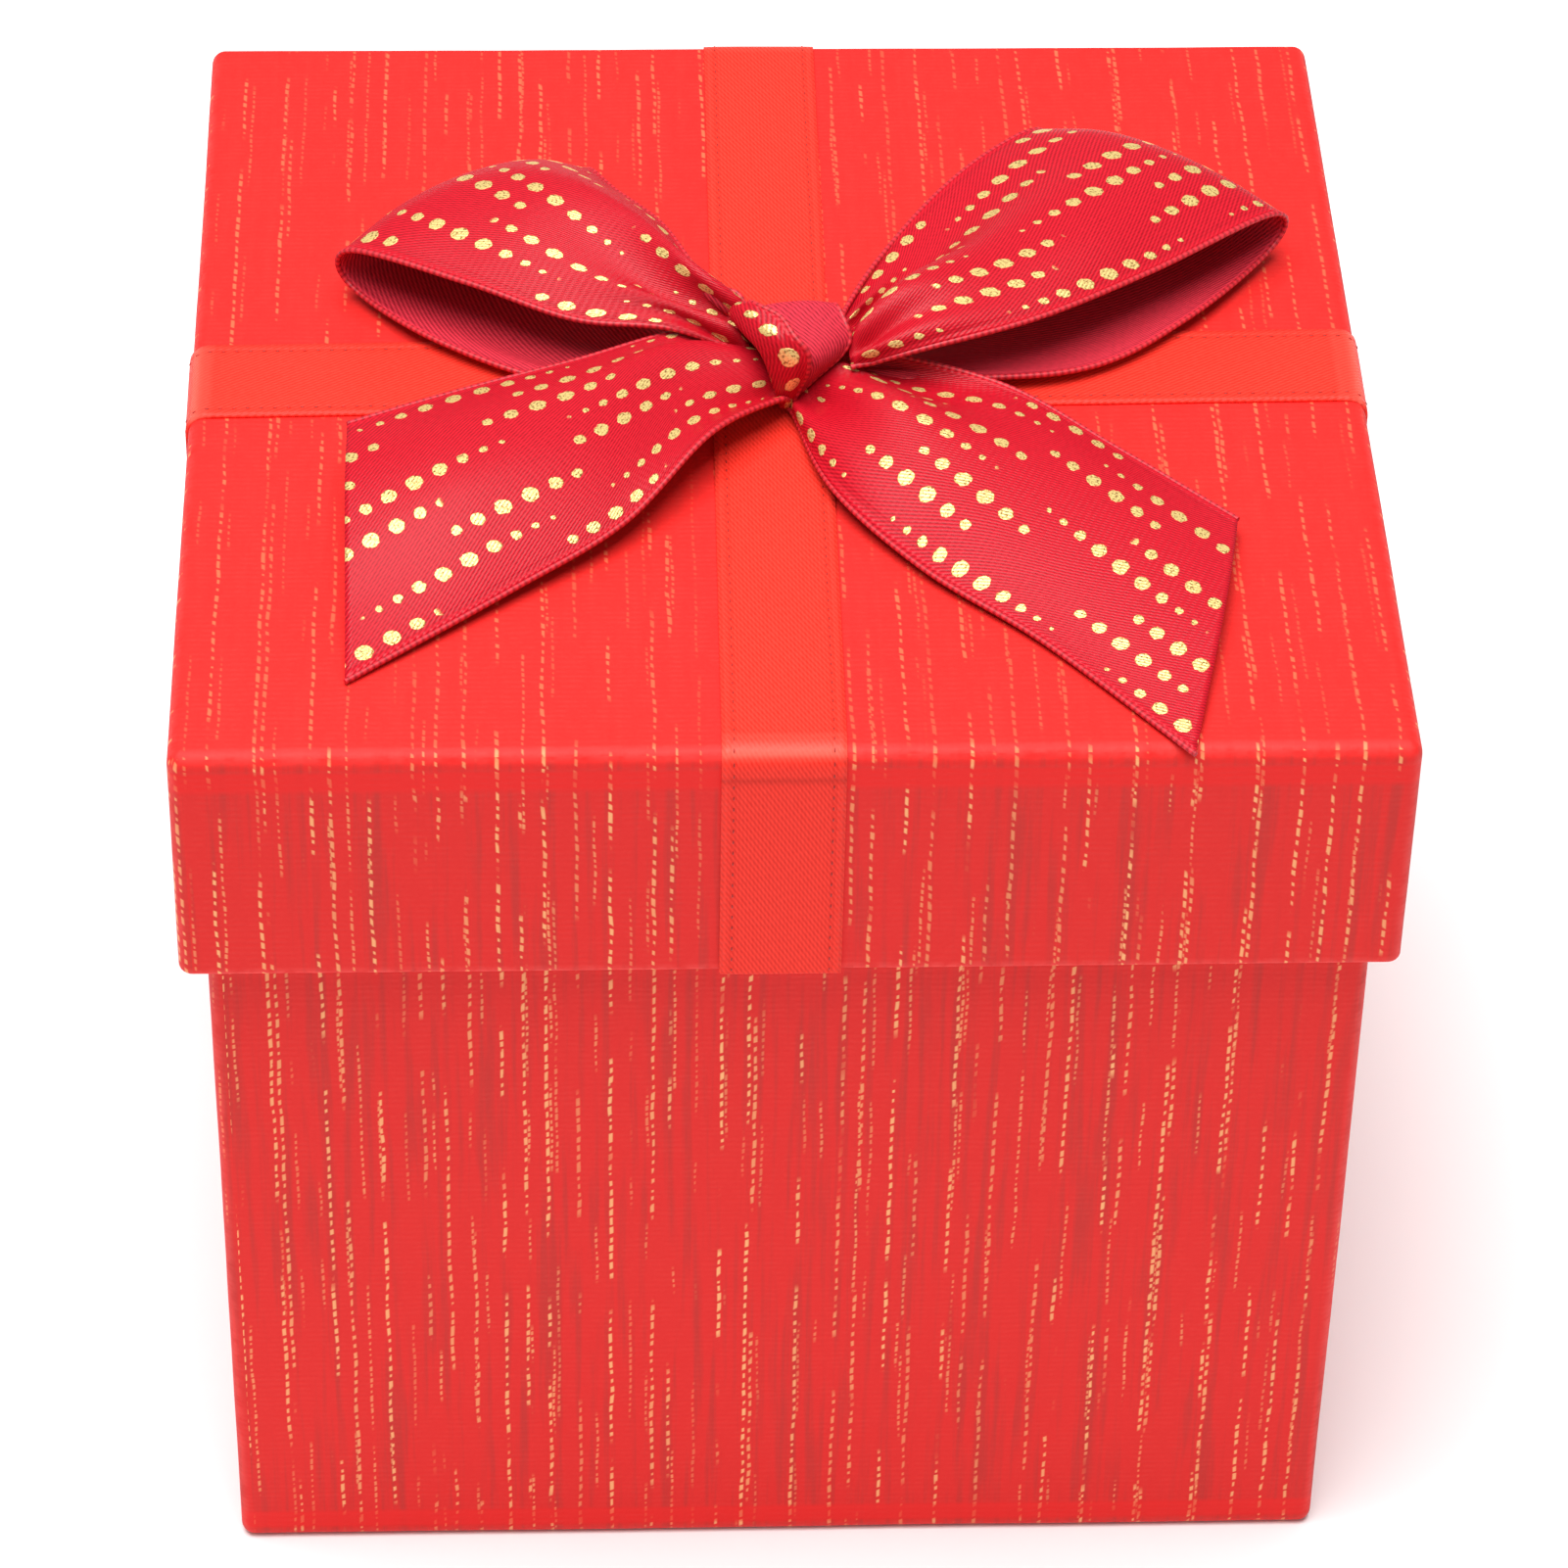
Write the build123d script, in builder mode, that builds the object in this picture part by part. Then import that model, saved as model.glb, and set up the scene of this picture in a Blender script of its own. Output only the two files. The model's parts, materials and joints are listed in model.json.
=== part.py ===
from build123d import *
import os
from math import atan2, cos, degrees, radians, sin

# Gift box with a lift-off lid, flat ribbon bands and a tied bow. Millimetres, +Z up.
# The origin is the centre of the underside of the base. The front of the box faces -Y.

# Driving dimensions: the rigid box
lid_size = 100.0          # outside of the lid, square in plan
box_height = 93.5         # underside of the base to the top of the lid
skirt_height = 23.2       # how far the lid reaches down
board = 1.5               # greyboard
paper = 0.2               # textured wrapping paper
liner = 0.15              # white lining paper
tape = 0.1                # stay tape over the board corners
clearance = 0.3           # lid skirt to base wall, on each side
rest_gap = 0.1            # base rim to the lining of the lid
corner_radius = 1.8       # upright wrapped edges
lid_edge_radius = 1.5     # edge round the top of the lid
base_edge_radius = 1.2    # edge round the underside of the base
rim_radius = 0.5          # outer edge of a folded-over rim
base_turn_in = 15.0       # wrap folded down inside the base
lid_turn_in = 19.0        # wrap folded up inside the lid
liner_drop = 6.0          # rim of the base to the top of the lining
stay_reach = 10.0         # tape on each side of a corner
stay_margin = 3.0         # tape end to the end of the wall

# Driving dimensions: ribbons
band_width = 10.0
band_thickness = 0.3
band_turn_in = 12.0       # band end glued up inside the skirt
crease_radius = 0.02      # sharp crease where a band turns up inside
hump_half = 5.8           # half the flat top where one band crosses the other
hump_ramp = 2.0
bow_width = 25.0
bow_thickness = 0.3
knot_size = (9.5, 9.5, 8.0)
knot_centre = (1.6, -3.2)
knot_radius = 3.0
glue_radius = 3.0
glue_height = 0.5
glue_centre = (0.8, -1.4)

# Worked out from those
base_size = lid_size - 2 * (board + 2 * paper + clearance)
base_height = box_height - paper - board - liner - rest_gap
base_inside = base_size - 2 * (paper + board)
base_mouth = base_inside - 2 * paper
lid_inside = lid_size - 2 * (paper + board)
lid_mouth = lid_inside - 2 * paper
lid_ceiling = box_height - paper - board
skirt_bottom = box_height - skirt_height
band_end_top = skirt_bottom + band_turn_in
band_pocket = lid_mouth / 2 + band_thickness
knot_base = box_height + 2 * band_thickness + glue_height

os.makedirs("parts", exist_ok=True)


def square_block(size, bottom, top, radius, top_round, bottom_round):
    """A square block with rounded upright edges and its own top and bottom edge radii."""
    with BuildPart() as block:
        with BuildSketch(Plane.XY.offset(bottom)):
            RectangleRounded(size, size, radius)
        extrude(amount=top - bottom)
        fillet(block.faces().sort_by(Axis.Z)[-1].edges(), top_round)
        fillet(block.faces().sort_by(Axis.Z)[0].edges(), bottom_round)
    return block.part


def square_prism(size, bottom, top):
    """A sharp-cornered square prism."""
    with BuildPart() as prism:
        with BuildSketch(Plane.XY.offset(bottom)):
            Rectangle(size, size)
        extrude(amount=top - bottom)
    return prism.part


def square_ring(outer, inner, bottom, top):
    """A thin square ring."""
    with BuildPart() as ring:
        with BuildSketch(Plane.XY.offset(bottom)):
            Rectangle(outer, outer)
            Rectangle(inner, inner, mode=Mode.SUBTRACT)
        extrude(amount=top - bottom)
    return ring.part


def corner_strips(size, radius, bottom, top):
    """Four strips of tape, one folded round each upright corner, sunk flush in the board."""
    with BuildPart() as strips:
        with BuildSketch(Plane.XY.offset(bottom)):
            RectangleRounded(size, size, radius)
            RectangleRounded(size - 2 * tape, size - 2 * tape, radius - tape, mode=Mode.SUBTRACT)
            Rectangle(size - 2 * stay_reach, size, mode=Mode.SUBTRACT)
            Rectangle(size, size - 2 * stay_reach, mode=Mode.SUBTRACT)
        extrude(amount=top - bottom)
    return strips.part


def band_pads(inner, outer, bottom, top):
    """Four upright pads inside the skirt, where the band ends are turned in."""
    with BuildPart() as pads:
        with BuildSketch(Plane.XY.offset(bottom)):
            with PolarLocations((inner + outer) / 2, 4):
                Rectangle(outer - inner, band_width)
        extrude(amount=top - bottom)
    return pads.part


# ---------------------------------------------------------------- base
base_block = square_block(
    base_size - 2 * paper,
    paper,
    base_height - paper,
    corner_radius - paper,
    rim_radius - paper,
    base_edge_radius - paper,
)

with BuildPart() as base_corner_stays:
    add(
        corner_strips(
            base_size - 2 * paper,
            corner_radius - paper,
            paper + stay_margin,
            base_height - paper - stay_margin,
        )
    )

with BuildPart() as base_board:
    add(base_block)
    add(square_prism(base_inside, paper + board, base_height), mode=Mode.SUBTRACT)
    add(base_corner_stays.part, mode=Mode.SUBTRACT)

with BuildPart() as base_wrap:
    add(square_block(base_size, 0, base_height, corner_radius, rim_radius, base_edge_radius))
    add(base_block, mode=Mode.SUBTRACT)
    add(square_prism(base_mouth, base_height - paper, base_height), mode=Mode.SUBTRACT)
    add(square_ring(base_inside, base_mouth, base_height - base_turn_in, base_height - paper))

with BuildPart() as base_liner:
    add(square_prism(base_inside, paper + board, base_height - base_turn_in))
    add(square_prism(base_mouth, paper + board, base_height - liner_drop))
    add(square_prism(base_mouth - 2 * liner, paper + board + liner, base_height), mode=Mode.SUBTRACT)

# ---------------------------------------------------------------- lid
lid_block = square_block(
    lid_size - 2 * paper,
    skirt_bottom + paper,
    box_height - paper,
    corner_radius - paper,
    lid_edge_radius - paper,
    rim_radius - paper,
)

with BuildPart() as lid_corner_stays:
    add(
        corner_strips(
            lid_size - 2 * paper,
            corner_radius - paper,
            skirt_bottom + paper + stay_margin,
            box_height - paper - stay_margin,
        )
    )

with BuildPart() as lid_board:
    add(lid_block)
    add(square_prism(lid_inside, skirt_bottom, lid_ceiling), mode=Mode.SUBTRACT)
    add(
        band_pads(lid_inside / 2, band_pocket + paper, skirt_bottom + paper, band_end_top),
        mode=Mode.SUBTRACT,
    )
    add(lid_corner_stays.part, mode=Mode.SUBTRACT)

with BuildPart() as lid_wrap:
    add(square_block(lid_size, skirt_bottom, box_height, corner_radius, lid_edge_radius, rim_radius))
    add(lid_block, mode=Mode.SUBTRACT)
    add(square_prism(lid_mouth, skirt_bottom, skirt_bottom + paper), mode=Mode.SUBTRACT)
    add(square_ring(lid_inside, lid_mouth, skirt_bottom + paper, skirt_bottom + lid_turn_in))
    add(band_pads(lid_mouth / 2, band_pocket, skirt_bottom, band_end_top), mode=Mode.SUBTRACT)
    add(band_pads(band_pocket, band_pocket + paper, skirt_bottom, band_end_top))

with BuildPart() as lid_liner:
    add(square_prism(lid_inside, lid_ceiling - liner, lid_ceiling))


# ---------------------------------------------------------------- flat bands
def band_end(side):
    """One end of a band's path: up inside the skirt, under its edge and up to the lid's top."""
    return [
        (side * band_pocket, band_end_top),
        (side * band_pocket, skirt_bottom),
        (side * lid_size / 2, skirt_bottom),
        (side * lid_size / 2, box_height),
    ]


end_radii = [crease_radius, rim_radius, lid_edge_radius]
hump_points = [
    (-hump_half - hump_ramp, box_height),
    (-hump_half, box_height + band_thickness),
    (hump_half, box_height + band_thickness),
    (hump_half + hump_ramp, box_height),
]
hump_radii = [hump_ramp / 2] * len(hump_points)

with BuildPart() as ribbon_band_left_right:
    with BuildSketch(Plane.XZ):
        with BuildLine():
            FilletPolyline(
                *band_end(-1),
                *reversed(band_end(1)),
                radius=end_radii + end_radii[::-1],
            )
            offset(amount=band_thickness, side=Side.LEFT)
        make_face()
    extrude(amount=band_width / 2, both=True)

with BuildPart() as ribbon_band_front_back:
    with BuildSketch(Plane.YZ):
        with BuildLine():
            FilletPolyline(
                *band_end(-1),
                *hump_points,
                *reversed(band_end(1)),
                radius=end_radii + hump_radii + end_radii[::-1],
            )
            offset(amount=band_thickness, side=Side.LEFT)
        make_face()
    extrude(amount=band_width / 2, both=True)

# ---------------------------------------------------------------- bow
with BuildPart() as bow_glue_dot:
    with BuildSketch(Plane.XY.offset(box_height + 2 * band_thickness)):
        with Locations(glue_centre):
            Circle(glue_radius)
    extrude(amount=glue_height)

with BuildPart() as bow_knot:
    with Locations((*knot_centre, knot_base + knot_size[2] / 2)):
        Box(*knot_size)
    fillet(bow_knot.edges(), knot_radius)

# Each leaf of the bow is a strap of ribbon: a path in the upright plane through the knot, with
# distance from the knot and height above the lid; the direction of the ribbon's width as seen
# from above, with its rise; and the outline that the gathered strap keeps, seen from above.
leaves = {
    "bow_loop_left": dict(
        aim=(-27.0, 18.0),
        path=[(3.5, 5.6), (19, 8.6), (37, 7.6), (37, 1.0), (18, 1.2), (3.5, 3.4)],
        radii=[12, 3.2, 3.2, 12],
        across=(21.5, 11.5, 0),
        outline=[(2, 0.6), (-14, 23), (-20, 32), (-44, 14), (-37.5, 9), (-24, 1), (0, -1.4)],
    ),
    "bow_loop_right": dict(
        aim=(34.0, 21.0),
        path=[(3.5, 5.6), (21, 9.2), (42, 7.6), (42, 1.0), (20, 1.2), (3.5, 3.4)],
        radii=[12, 3.2, 3.2, 12],
        across=(-20.2, 12.2, 0),
        outline=[
            (3, 0.6), (22.5, 27), (28, 38), (52, 20), (44.5, 14), (31, 2), (19, -2), (4, -1.8),
        ],
    ),
    "bow_tail_left": dict(
        aim=(-36.0, -27.0),
        path=[(3.5, 3.6), (18, 4.4), (52, 2.6)],
        radii=[12],
        across=(11.5, -21.5, -4.0),
        outline=[(2, -2.2), (-18, -5), (-36.2, -12.5), (-35.9, -41), (-15.5, -24), (0, -7)],
    ),
    "bow_tail_right": dict(
        aim=(34.5, -37.0),
        path=[(3.5, 3.6), (18, 3.2), (58, 1.2)],
        radii=[12],
        across=(17.0, 18.0, 1.2),
        outline=[
            (4, -2.8), (16, -3.5), (24, -9.5), (37.4, -22.5),
            (31.6, -50.2), (16, -33), (4.3, -20), (1.5, -7),
        ],
    ),
}

for name, leaf in leaves.items():
    turn = degrees(atan2(leaf["aim"][1] - knot_centre[1], leaf["aim"][0] - knot_centre[0]))
    upright = Plane(
        origin=(*knot_centre, box_height),
        x_dir=(cos(radians(turn)), sin(radians(turn)), 0),
        z_dir=(sin(radians(turn)), -cos(radians(turn)), 0),
    )
    with BuildPart() as strap:
        with BuildSketch(upright):
            with BuildLine():
                FilletPolyline(*leaf["path"], radius=leaf["radii"])
                offset(amount=bow_thickness, side=Side.RIGHT)
            make_face()
        extrude(amount=bow_width, dir=leaf["across"], both=True)
        with BuildSketch(Plane.XY.offset(box_height)):
            with BuildLine():
                Polyline(*leaf["outline"], close=True)
            make_face()
        extrude(amount=2 * knot_size[2], mode=Mode.INTERSECT)
        add(bow_knot.part, mode=Mode.SUBTRACT)
    strap.part.label = name
    export_step(strap.part, f"parts/{name}.step")

pieces = {
    "base_board": base_board,
    "base_corner_stays": base_corner_stays,
    "base_wrap": base_wrap,
    "base_liner": base_liner,
    "lid_board": lid_board,
    "lid_corner_stays": lid_corner_stays,
    "lid_wrap": lid_wrap,
    "lid_liner": lid_liner,
    "ribbon_band_left_right": ribbon_band_left_right,
    "ribbon_band_front_back": ribbon_band_front_back,
    "bow_glue_dot": bow_glue_dot,
    "bow_knot": bow_knot,
}
for name, piece in pieces.items():
    piece.part.label = name
    export_step(piece.part, f"parts/{name}.step")
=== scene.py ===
"""Looks of the gift box: wrapped paper, flat ribbon bands and the tied satin bow."""

import json
import math

import bmesh
import bpy
import numpy as np
from bpy.props import FloatProperty, FloatVectorProperty, IntProperty, PointerProperty
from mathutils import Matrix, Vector, noise

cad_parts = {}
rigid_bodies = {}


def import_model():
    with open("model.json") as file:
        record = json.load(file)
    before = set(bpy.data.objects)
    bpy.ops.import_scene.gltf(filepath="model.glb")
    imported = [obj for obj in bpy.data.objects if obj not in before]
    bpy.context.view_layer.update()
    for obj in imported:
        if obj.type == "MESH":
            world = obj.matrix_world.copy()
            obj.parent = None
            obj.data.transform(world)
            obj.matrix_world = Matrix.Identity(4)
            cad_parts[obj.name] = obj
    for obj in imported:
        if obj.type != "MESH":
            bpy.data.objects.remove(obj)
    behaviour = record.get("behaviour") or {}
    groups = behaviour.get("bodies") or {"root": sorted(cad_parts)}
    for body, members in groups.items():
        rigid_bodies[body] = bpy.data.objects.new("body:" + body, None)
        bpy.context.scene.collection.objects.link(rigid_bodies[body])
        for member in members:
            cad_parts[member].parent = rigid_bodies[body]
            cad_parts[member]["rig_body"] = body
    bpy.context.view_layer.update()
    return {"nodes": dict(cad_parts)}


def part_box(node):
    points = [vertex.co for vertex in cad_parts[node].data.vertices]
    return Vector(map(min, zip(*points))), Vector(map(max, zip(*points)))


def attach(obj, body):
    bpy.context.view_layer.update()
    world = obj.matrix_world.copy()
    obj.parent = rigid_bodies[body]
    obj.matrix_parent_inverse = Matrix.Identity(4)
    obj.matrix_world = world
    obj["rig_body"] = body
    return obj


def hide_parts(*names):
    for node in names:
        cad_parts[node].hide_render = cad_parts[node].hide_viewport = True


bl_info = {
    "name": "Gift Box with Ribbon Bow",
    "version": (1, 0, 0),
    "blender": (4, 5, 0),
    "location": "3D View > Sidebar > Gift Box",
    "description": "Builds the paper, ribbon and bow of a lift-off lid gift box around its frame",
    "category": "Add Mesh",
}

MM = 0.001
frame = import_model()

LID_LOW, LID_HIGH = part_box("lid_wrap")
BASE_LOW, BASE_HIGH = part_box("base_wrap")
LID_BOARD_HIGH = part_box("lid_board")[1]
SIDE_BAND_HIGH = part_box("ribbon_band_left_right")[1]

LID_TOP = LID_HIGH.z
LID_HALF = LID_HIGH.x
BASE_HALF = BASE_HIGH.x
PAPER = LID_TOP - LID_BOARD_HIGH.z
BAND_THICKNESS = SIDE_BAND_HIGH.z - LID_TOP
BAND_WIDTH = 10.0 * MM
BAND_TURN_IN = 12.0 * MM
WALL_BUILD = 1.9 * MM  # board with paper on both faces
CORNER_RADIUS = 1.1 * MM
PANEL_INSET = 1.8 * MM
LID_EDGE_RADIUS = 1.3 * MM
BASE_EDGE_RADIUS = 1.2 * MM
RIM_RADIUS = 0.5 * MM
LID_TURN_IN = 19.0 * MM
BASE_TURN_IN = 15.0 * MM
BOW_WIDTH = 25.0 * MM
BOW_THICKNESS = 0.28 * MM
CORD_RADIUS = 0.25 * MM
CORD_TURN = 0.62 * MM  # one turn of the thread round a corded selvedge
PANEL_SPAN = 100.0 * MM
PANEL_BLEND = 1.5 * MM  # over which the paper's look changes at the panel's edges


# ---------------------------------------------------------------- settings
class GiftBoxPaperSettings(bpy.types.PropertyGroup):
    """Colours and printed threads of the wrapping paper."""

    red: FloatVectorProperty(
        name="Paper red",
        description="Main colour of the wrapping paper",
        subtype="COLOR",
        size=3,
        default=(0.73, 0.014, 0.012),
    )
    shade: FloatVectorProperty(
        name="Streak red",
        description="Colour of the darker upright streaks",
        subtype="COLOR",
        size=3,
        default=(0.52, 0.022, 0.018),
    )
    thread: FloatVectorProperty(
        name="Thread gold",
        description="Colour of the broken gold threads",
        subtype="COLOR",
        size=3,
        default=(0.96, 0.44, 0.18),
    )
    thread_spacing: FloatProperty(
        name="Thread spacing",
        description="Average distance from one bold thread to the next",
        subtype="DISTANCE",
        default=2.5 * MM,
    )
    dash_length: FloatProperty(
        name="Dash length",
        description="Length of one dash and its gap",
        subtype="DISTANCE",
        default=1.1 * MM,
    )


class GiftBoxRibbonSettings(bpy.types.PropertyGroup):
    """Colours of the two ribbons, the foil dots on the bow and the stitches."""

    band: FloatVectorProperty(
        name="Band satin",
        description="Colour of the flat satin bands",
        subtype="COLOR",
        size=3,
        default=(1.0, 0.030, 0.016),
    )
    bow: FloatVectorProperty(
        name="Bow satin",
        description="Colour of the shiny side of the bow ribbon",
        subtype="COLOR",
        size=3,
        default=(0.53, 0.004, 0.016),
    )
    foil: FloatVectorProperty(
        name="Foil gold",
        description="Colour of the foil dots",
        subtype="COLOR",
        size=3,
        default=(0.88, 0.66, 0.24),
    )
    dot_rows: IntProperty(
        name="Dot rows",
        description="Rows of foil dots across the bow ribbon",
        default=8,
        min=1,
    )
    dot_spacing: FloatProperty(
        name="Dot spacing",
        description="Average distance between dots along a row",
        subtype="DISTANCE",
        default=1.95 * MM,
    )
    dot_wave: FloatProperty(
        name="Dot wave",
        description="Length over which a row's dots swell and shrink once",
        subtype="DISTANCE",
        default=25.0 * MM,
    )
    stitch_pitch: FloatProperty(
        name="Stitch pitch",
        description="Distance from one edge stitch of a ribbon to the next",
        subtype="DISTANCE",
        default=1.15 * MM,
    )


class GiftBoxStageSettings(bpy.types.PropertyGroup):
    """Floor and lights."""

    key_power: FloatProperty(
        name="Key light",
        description="Power of the large light above the box",
        subtype="POWER",
        default=19.5,
    )
    fill_power: FloatProperty(
        name="Fill light",
        description="Power of the front fill light",
        subtype="POWER",
        default=0.1,
    )
    world_level: FloatProperty(
        name="World level",
        description="Strength of the even white surroundings",
        default=0.31,
    )


# ---------------------------------------------------------------- shader graphs
class Graph:
    """Adds and links nodes in one tree."""

    def __init__(self, tree):
        self.tree = tree

    def add(self, kind, *values, **settings):
        """A node with its settings, its inputs filled in order by sockets or numbers."""
        node = self.tree.nodes.new(kind)
        for name, value in settings.items():
            setattr(node, name, value)
        for socket, value in zip(node.inputs, values):
            self.feed(socket, value)
        return node

    def feed(self, socket, value):
        if value is None:
            return
        if isinstance(value, bpy.types.NodeSocket):
            self.tree.links.new(value, socket)
        else:
            socket.default_value = value

    def math(self, operation, *values):
        return self.add("ShaderNodeMath", *values, operation=operation).outputs[0]

    def step(self, value, low, high):
        """0 below low, 1 above high, and smooth between them."""
        node = self.add("ShaderNodeMapRange", value, low, high, interpolation_type="SMOOTHSTEP")
        return node.outputs[0]

    def vector(self, x, y=0.0, z=0.0):
        return self.add("ShaderNodeCombineXYZ", x, y, z).outputs[0]

    def noise(self, vector, scale=1.0, detail=2.0, rough=0.5):
        node = self.add("ShaderNodeTexNoise", noise_dimensions="3D")
        self.feed(node.inputs["Vector"], vector)
        self.feed(node.inputs["Scale"], scale)
        self.feed(node.inputs["Detail"], detail)
        self.feed(node.inputs["Roughness"], rough)
        return node.outputs["Fac"]

    def random(self, value):
        """The same random number from 0 to 1 for the same value."""
        node = self.add("ShaderNodeTexWhiteNoise", noise_dimensions="1D")
        self.feed(node.inputs["W"], value)
        return node.outputs["Value"]

    def mix(self, share, first, second):
        node = self.add("ShaderNodeMix", data_type="RGBA")
        self.feed(node.inputs["Factor"], share)
        for name, value in (("A", first), ("B", second)):
            socket = next(s for s in node.inputs if s.name == name and s.type == "RGBA")
            plain = isinstance(value, bpy.types.NodeSocket)
            self.feed(socket, value if plain else (*value[:3], 1.0))
        return next(s for s in node.outputs if s.type == "RGBA")

    def millimetres(self, *values):
        return [self.math("MULTIPLY", value, 1 / MM) for value in values]


def node_group(name, inputs, outputs, build):
    """A shader group with named float inputs and outputs, filled by build(graph, inputs)."""
    group = bpy.data.node_groups.new(name, "ShaderNodeTree")
    for label, default in inputs:
        socket = group.interface.new_socket(label, in_out="INPUT", socket_type="NodeSocketFloat")
        socket.default_value = default
    for label in outputs:
        group.interface.new_socket(label, in_out="OUTPUT", socket_type="NodeSocketFloat")
    graph = Graph(group)
    entry = group.nodes.new("NodeGroupInput")
    results = build(graph, {label: entry.outputs[label] for label, _ in inputs})
    leave = group.nodes.new("NodeGroupOutput")
    for label, value in zip(outputs, results):
        group.links.new(value, leave.inputs[label])
    return group


def use_group(graph, name, **values):
    """Places a shader group, made the first time it is asked for, and returns its outputs."""
    node = graph.tree.nodes.new("ShaderNodeGroup")
    node.node_tree = bpy.data.node_groups.get(name) or GROUP_MAKERS[name]()
    for label, value in values.items():
        graph.feed(node.inputs[label.replace("_", " ").capitalize()], value)
    return {output.name: output for output in node.outputs}


def thread_group():
    """Broken foil threads that run one way and come and go."""

    def build(g, i):
        across, along, spacing, dash, width = g.millimetres(
            i["Across"], i["Along"], i["Spacing"], i["Dash"], i["Width"]
        )
        seed = i["Seed"]
        sway = g.noise(g.vector(g.math("MULTIPLY", across, 0.11), g.math("MULTIPLY", along, 0.16), seed))
        swayed = g.math("MULTIPLY_ADD", sway, 0.55, across)
        cells = g.add("ShaderNodeTexVoronoi", voronoi_dimensions="1D")
        g.feed(cells.inputs["W"], g.math("ADD", g.math("DIVIDE", swayed, spacing), seed))
        cells.inputs["Scale"].default_value = 1.0
        cells.inputs["Randomness"].default_value = 1.0
        split = g.add("ShaderNodeSeparateColor", cells.outputs["Color"]).outputs
        gap = g.math("MULTIPLY", cells.outputs["Distance"], spacing)
        place = g.vector(g.math("MULTIPLY", split[0], 91.0), g.math("MULTIPLY", along, 0.075), seed)
        wave = g.noise(place, detail=1.0)
        start = g.math("SUBTRACT", 0.66, g.math("MULTIPLY", i["Cover"], 0.3))
        shown = g.step(wave, start, g.math("ADD", start, 0.05))
        beat = g.math("MULTIPLY_ADD", split[1], 17.0, g.math("DIVIDE", along, dash))
        beat = g.math("MULTIPLY_ADD", across, 0.5, beat)
        jitter = g.noise(g.vector(g.math("MULTIPLY", split[1], 53.0), g.math("MULTIPLY", along, 0.8)))
        beat = g.math("MULTIPLY_ADD", jitter, 1.3, beat)
        centre = g.math("ABSOLUTE", g.math("SUBTRACT", g.math("FRACT", beat), 0.5))
        size = g.random(g.math("ADD", g.math("FLOOR", beat), g.math("MULTIPLY", split[2], 31.0)))
        reach = g.math("MULTIPLY_ADD", size, 0.19, 0.2)
        dashes = g.step(g.math("SUBTRACT", reach, centre), -0.05, 0.09)
        half = g.math("MULTIPLY", width, 0.5)
        half = g.math("MULTIPLY", half, g.math("MULTIPLY_ADD", size, 0.5, 0.65))
        line = g.step(g.math("SUBTRACT", half, gap), -0.07, 0.08)
        weight = g.math("MULTIPLY_ADD", split[2], 0.6, 0.4)
        dashes = g.math("MULTIPLY", line, dashes)
        return [g.math("MULTIPLY", dashes, g.math("MULTIPLY", shown, weight))]

    return node_group(
        "Foil Threads",
        [("Across", 0.0), ("Along", 0.0), ("Spacing", 0.0026), ("Dash", 0.0015)]
        + [("Width", 0.0004), ("Cover", 0.5), ("Seed", 0.0)],
        ["Mask"],
        build,
    )


def streak_group():
    """Soft dark streaks, long along the paper and narrow across it."""

    def build(g, i):
        across, along = g.millimetres(i["Across"], i["Along"])
        fine = g.noise(
            g.vector(g.math("MULTIPLY", across, 1.15), g.math("MULTIPLY", along, 0.045)), detail=3.0
        )
        broad = g.noise(
            g.vector(g.math("MULTIPLY", across, 0.32), g.math("MULTIPLY", along, 0.03), 5.0)
        )
        both = g.math("ADD", g.math("MULTIPLY", fine, 0.65), g.math("MULTIPLY", broad, 0.35))
        return [g.step(both, 0.46, 0.66)]

    return node_group("Paper Streaks", [("Across", 0.0), ("Along", 0.0)], ["Mask"], build)


def laid_group():
    """The fine ribs and pulp grain pressed into the paper."""

    def build(g, i):
        across, along = g.millimetres(i["Across"], i["Along"])
        sway = g.noise(g.vector(g.math("MULTIPLY", across, 0.3), g.math("MULTIPLY", along, 0.3), 2.0))
        turn = g.math("MULTIPLY_ADD", along, 2 * math.pi / 0.62, g.math("MULTIPLY", sway, 5.0))
        ribs = g.math("MULTIPLY_ADD", g.math("SINE", turn), 0.5, 0.5)
        patches = g.noise(g.vector(g.math("MULTIPLY", across, 0.9), g.math("MULTIPLY", along, 0.5)))
        grain = g.noise(g.vector(across, along), scale=2.4, detail=4.0, rough=0.62)
        ribs = g.math("MULTIPLY", g.math("MULTIPLY", ribs, g.step(patches, 0.3, 0.7)), 0.55)
        return [g.math("MULTIPLY", g.math("ADD", ribs, grain), 0.65)]

    return node_group("Laid Paper", [("Across", 0.0), ("Along", 0.0)], ["Height"], build)


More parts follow.
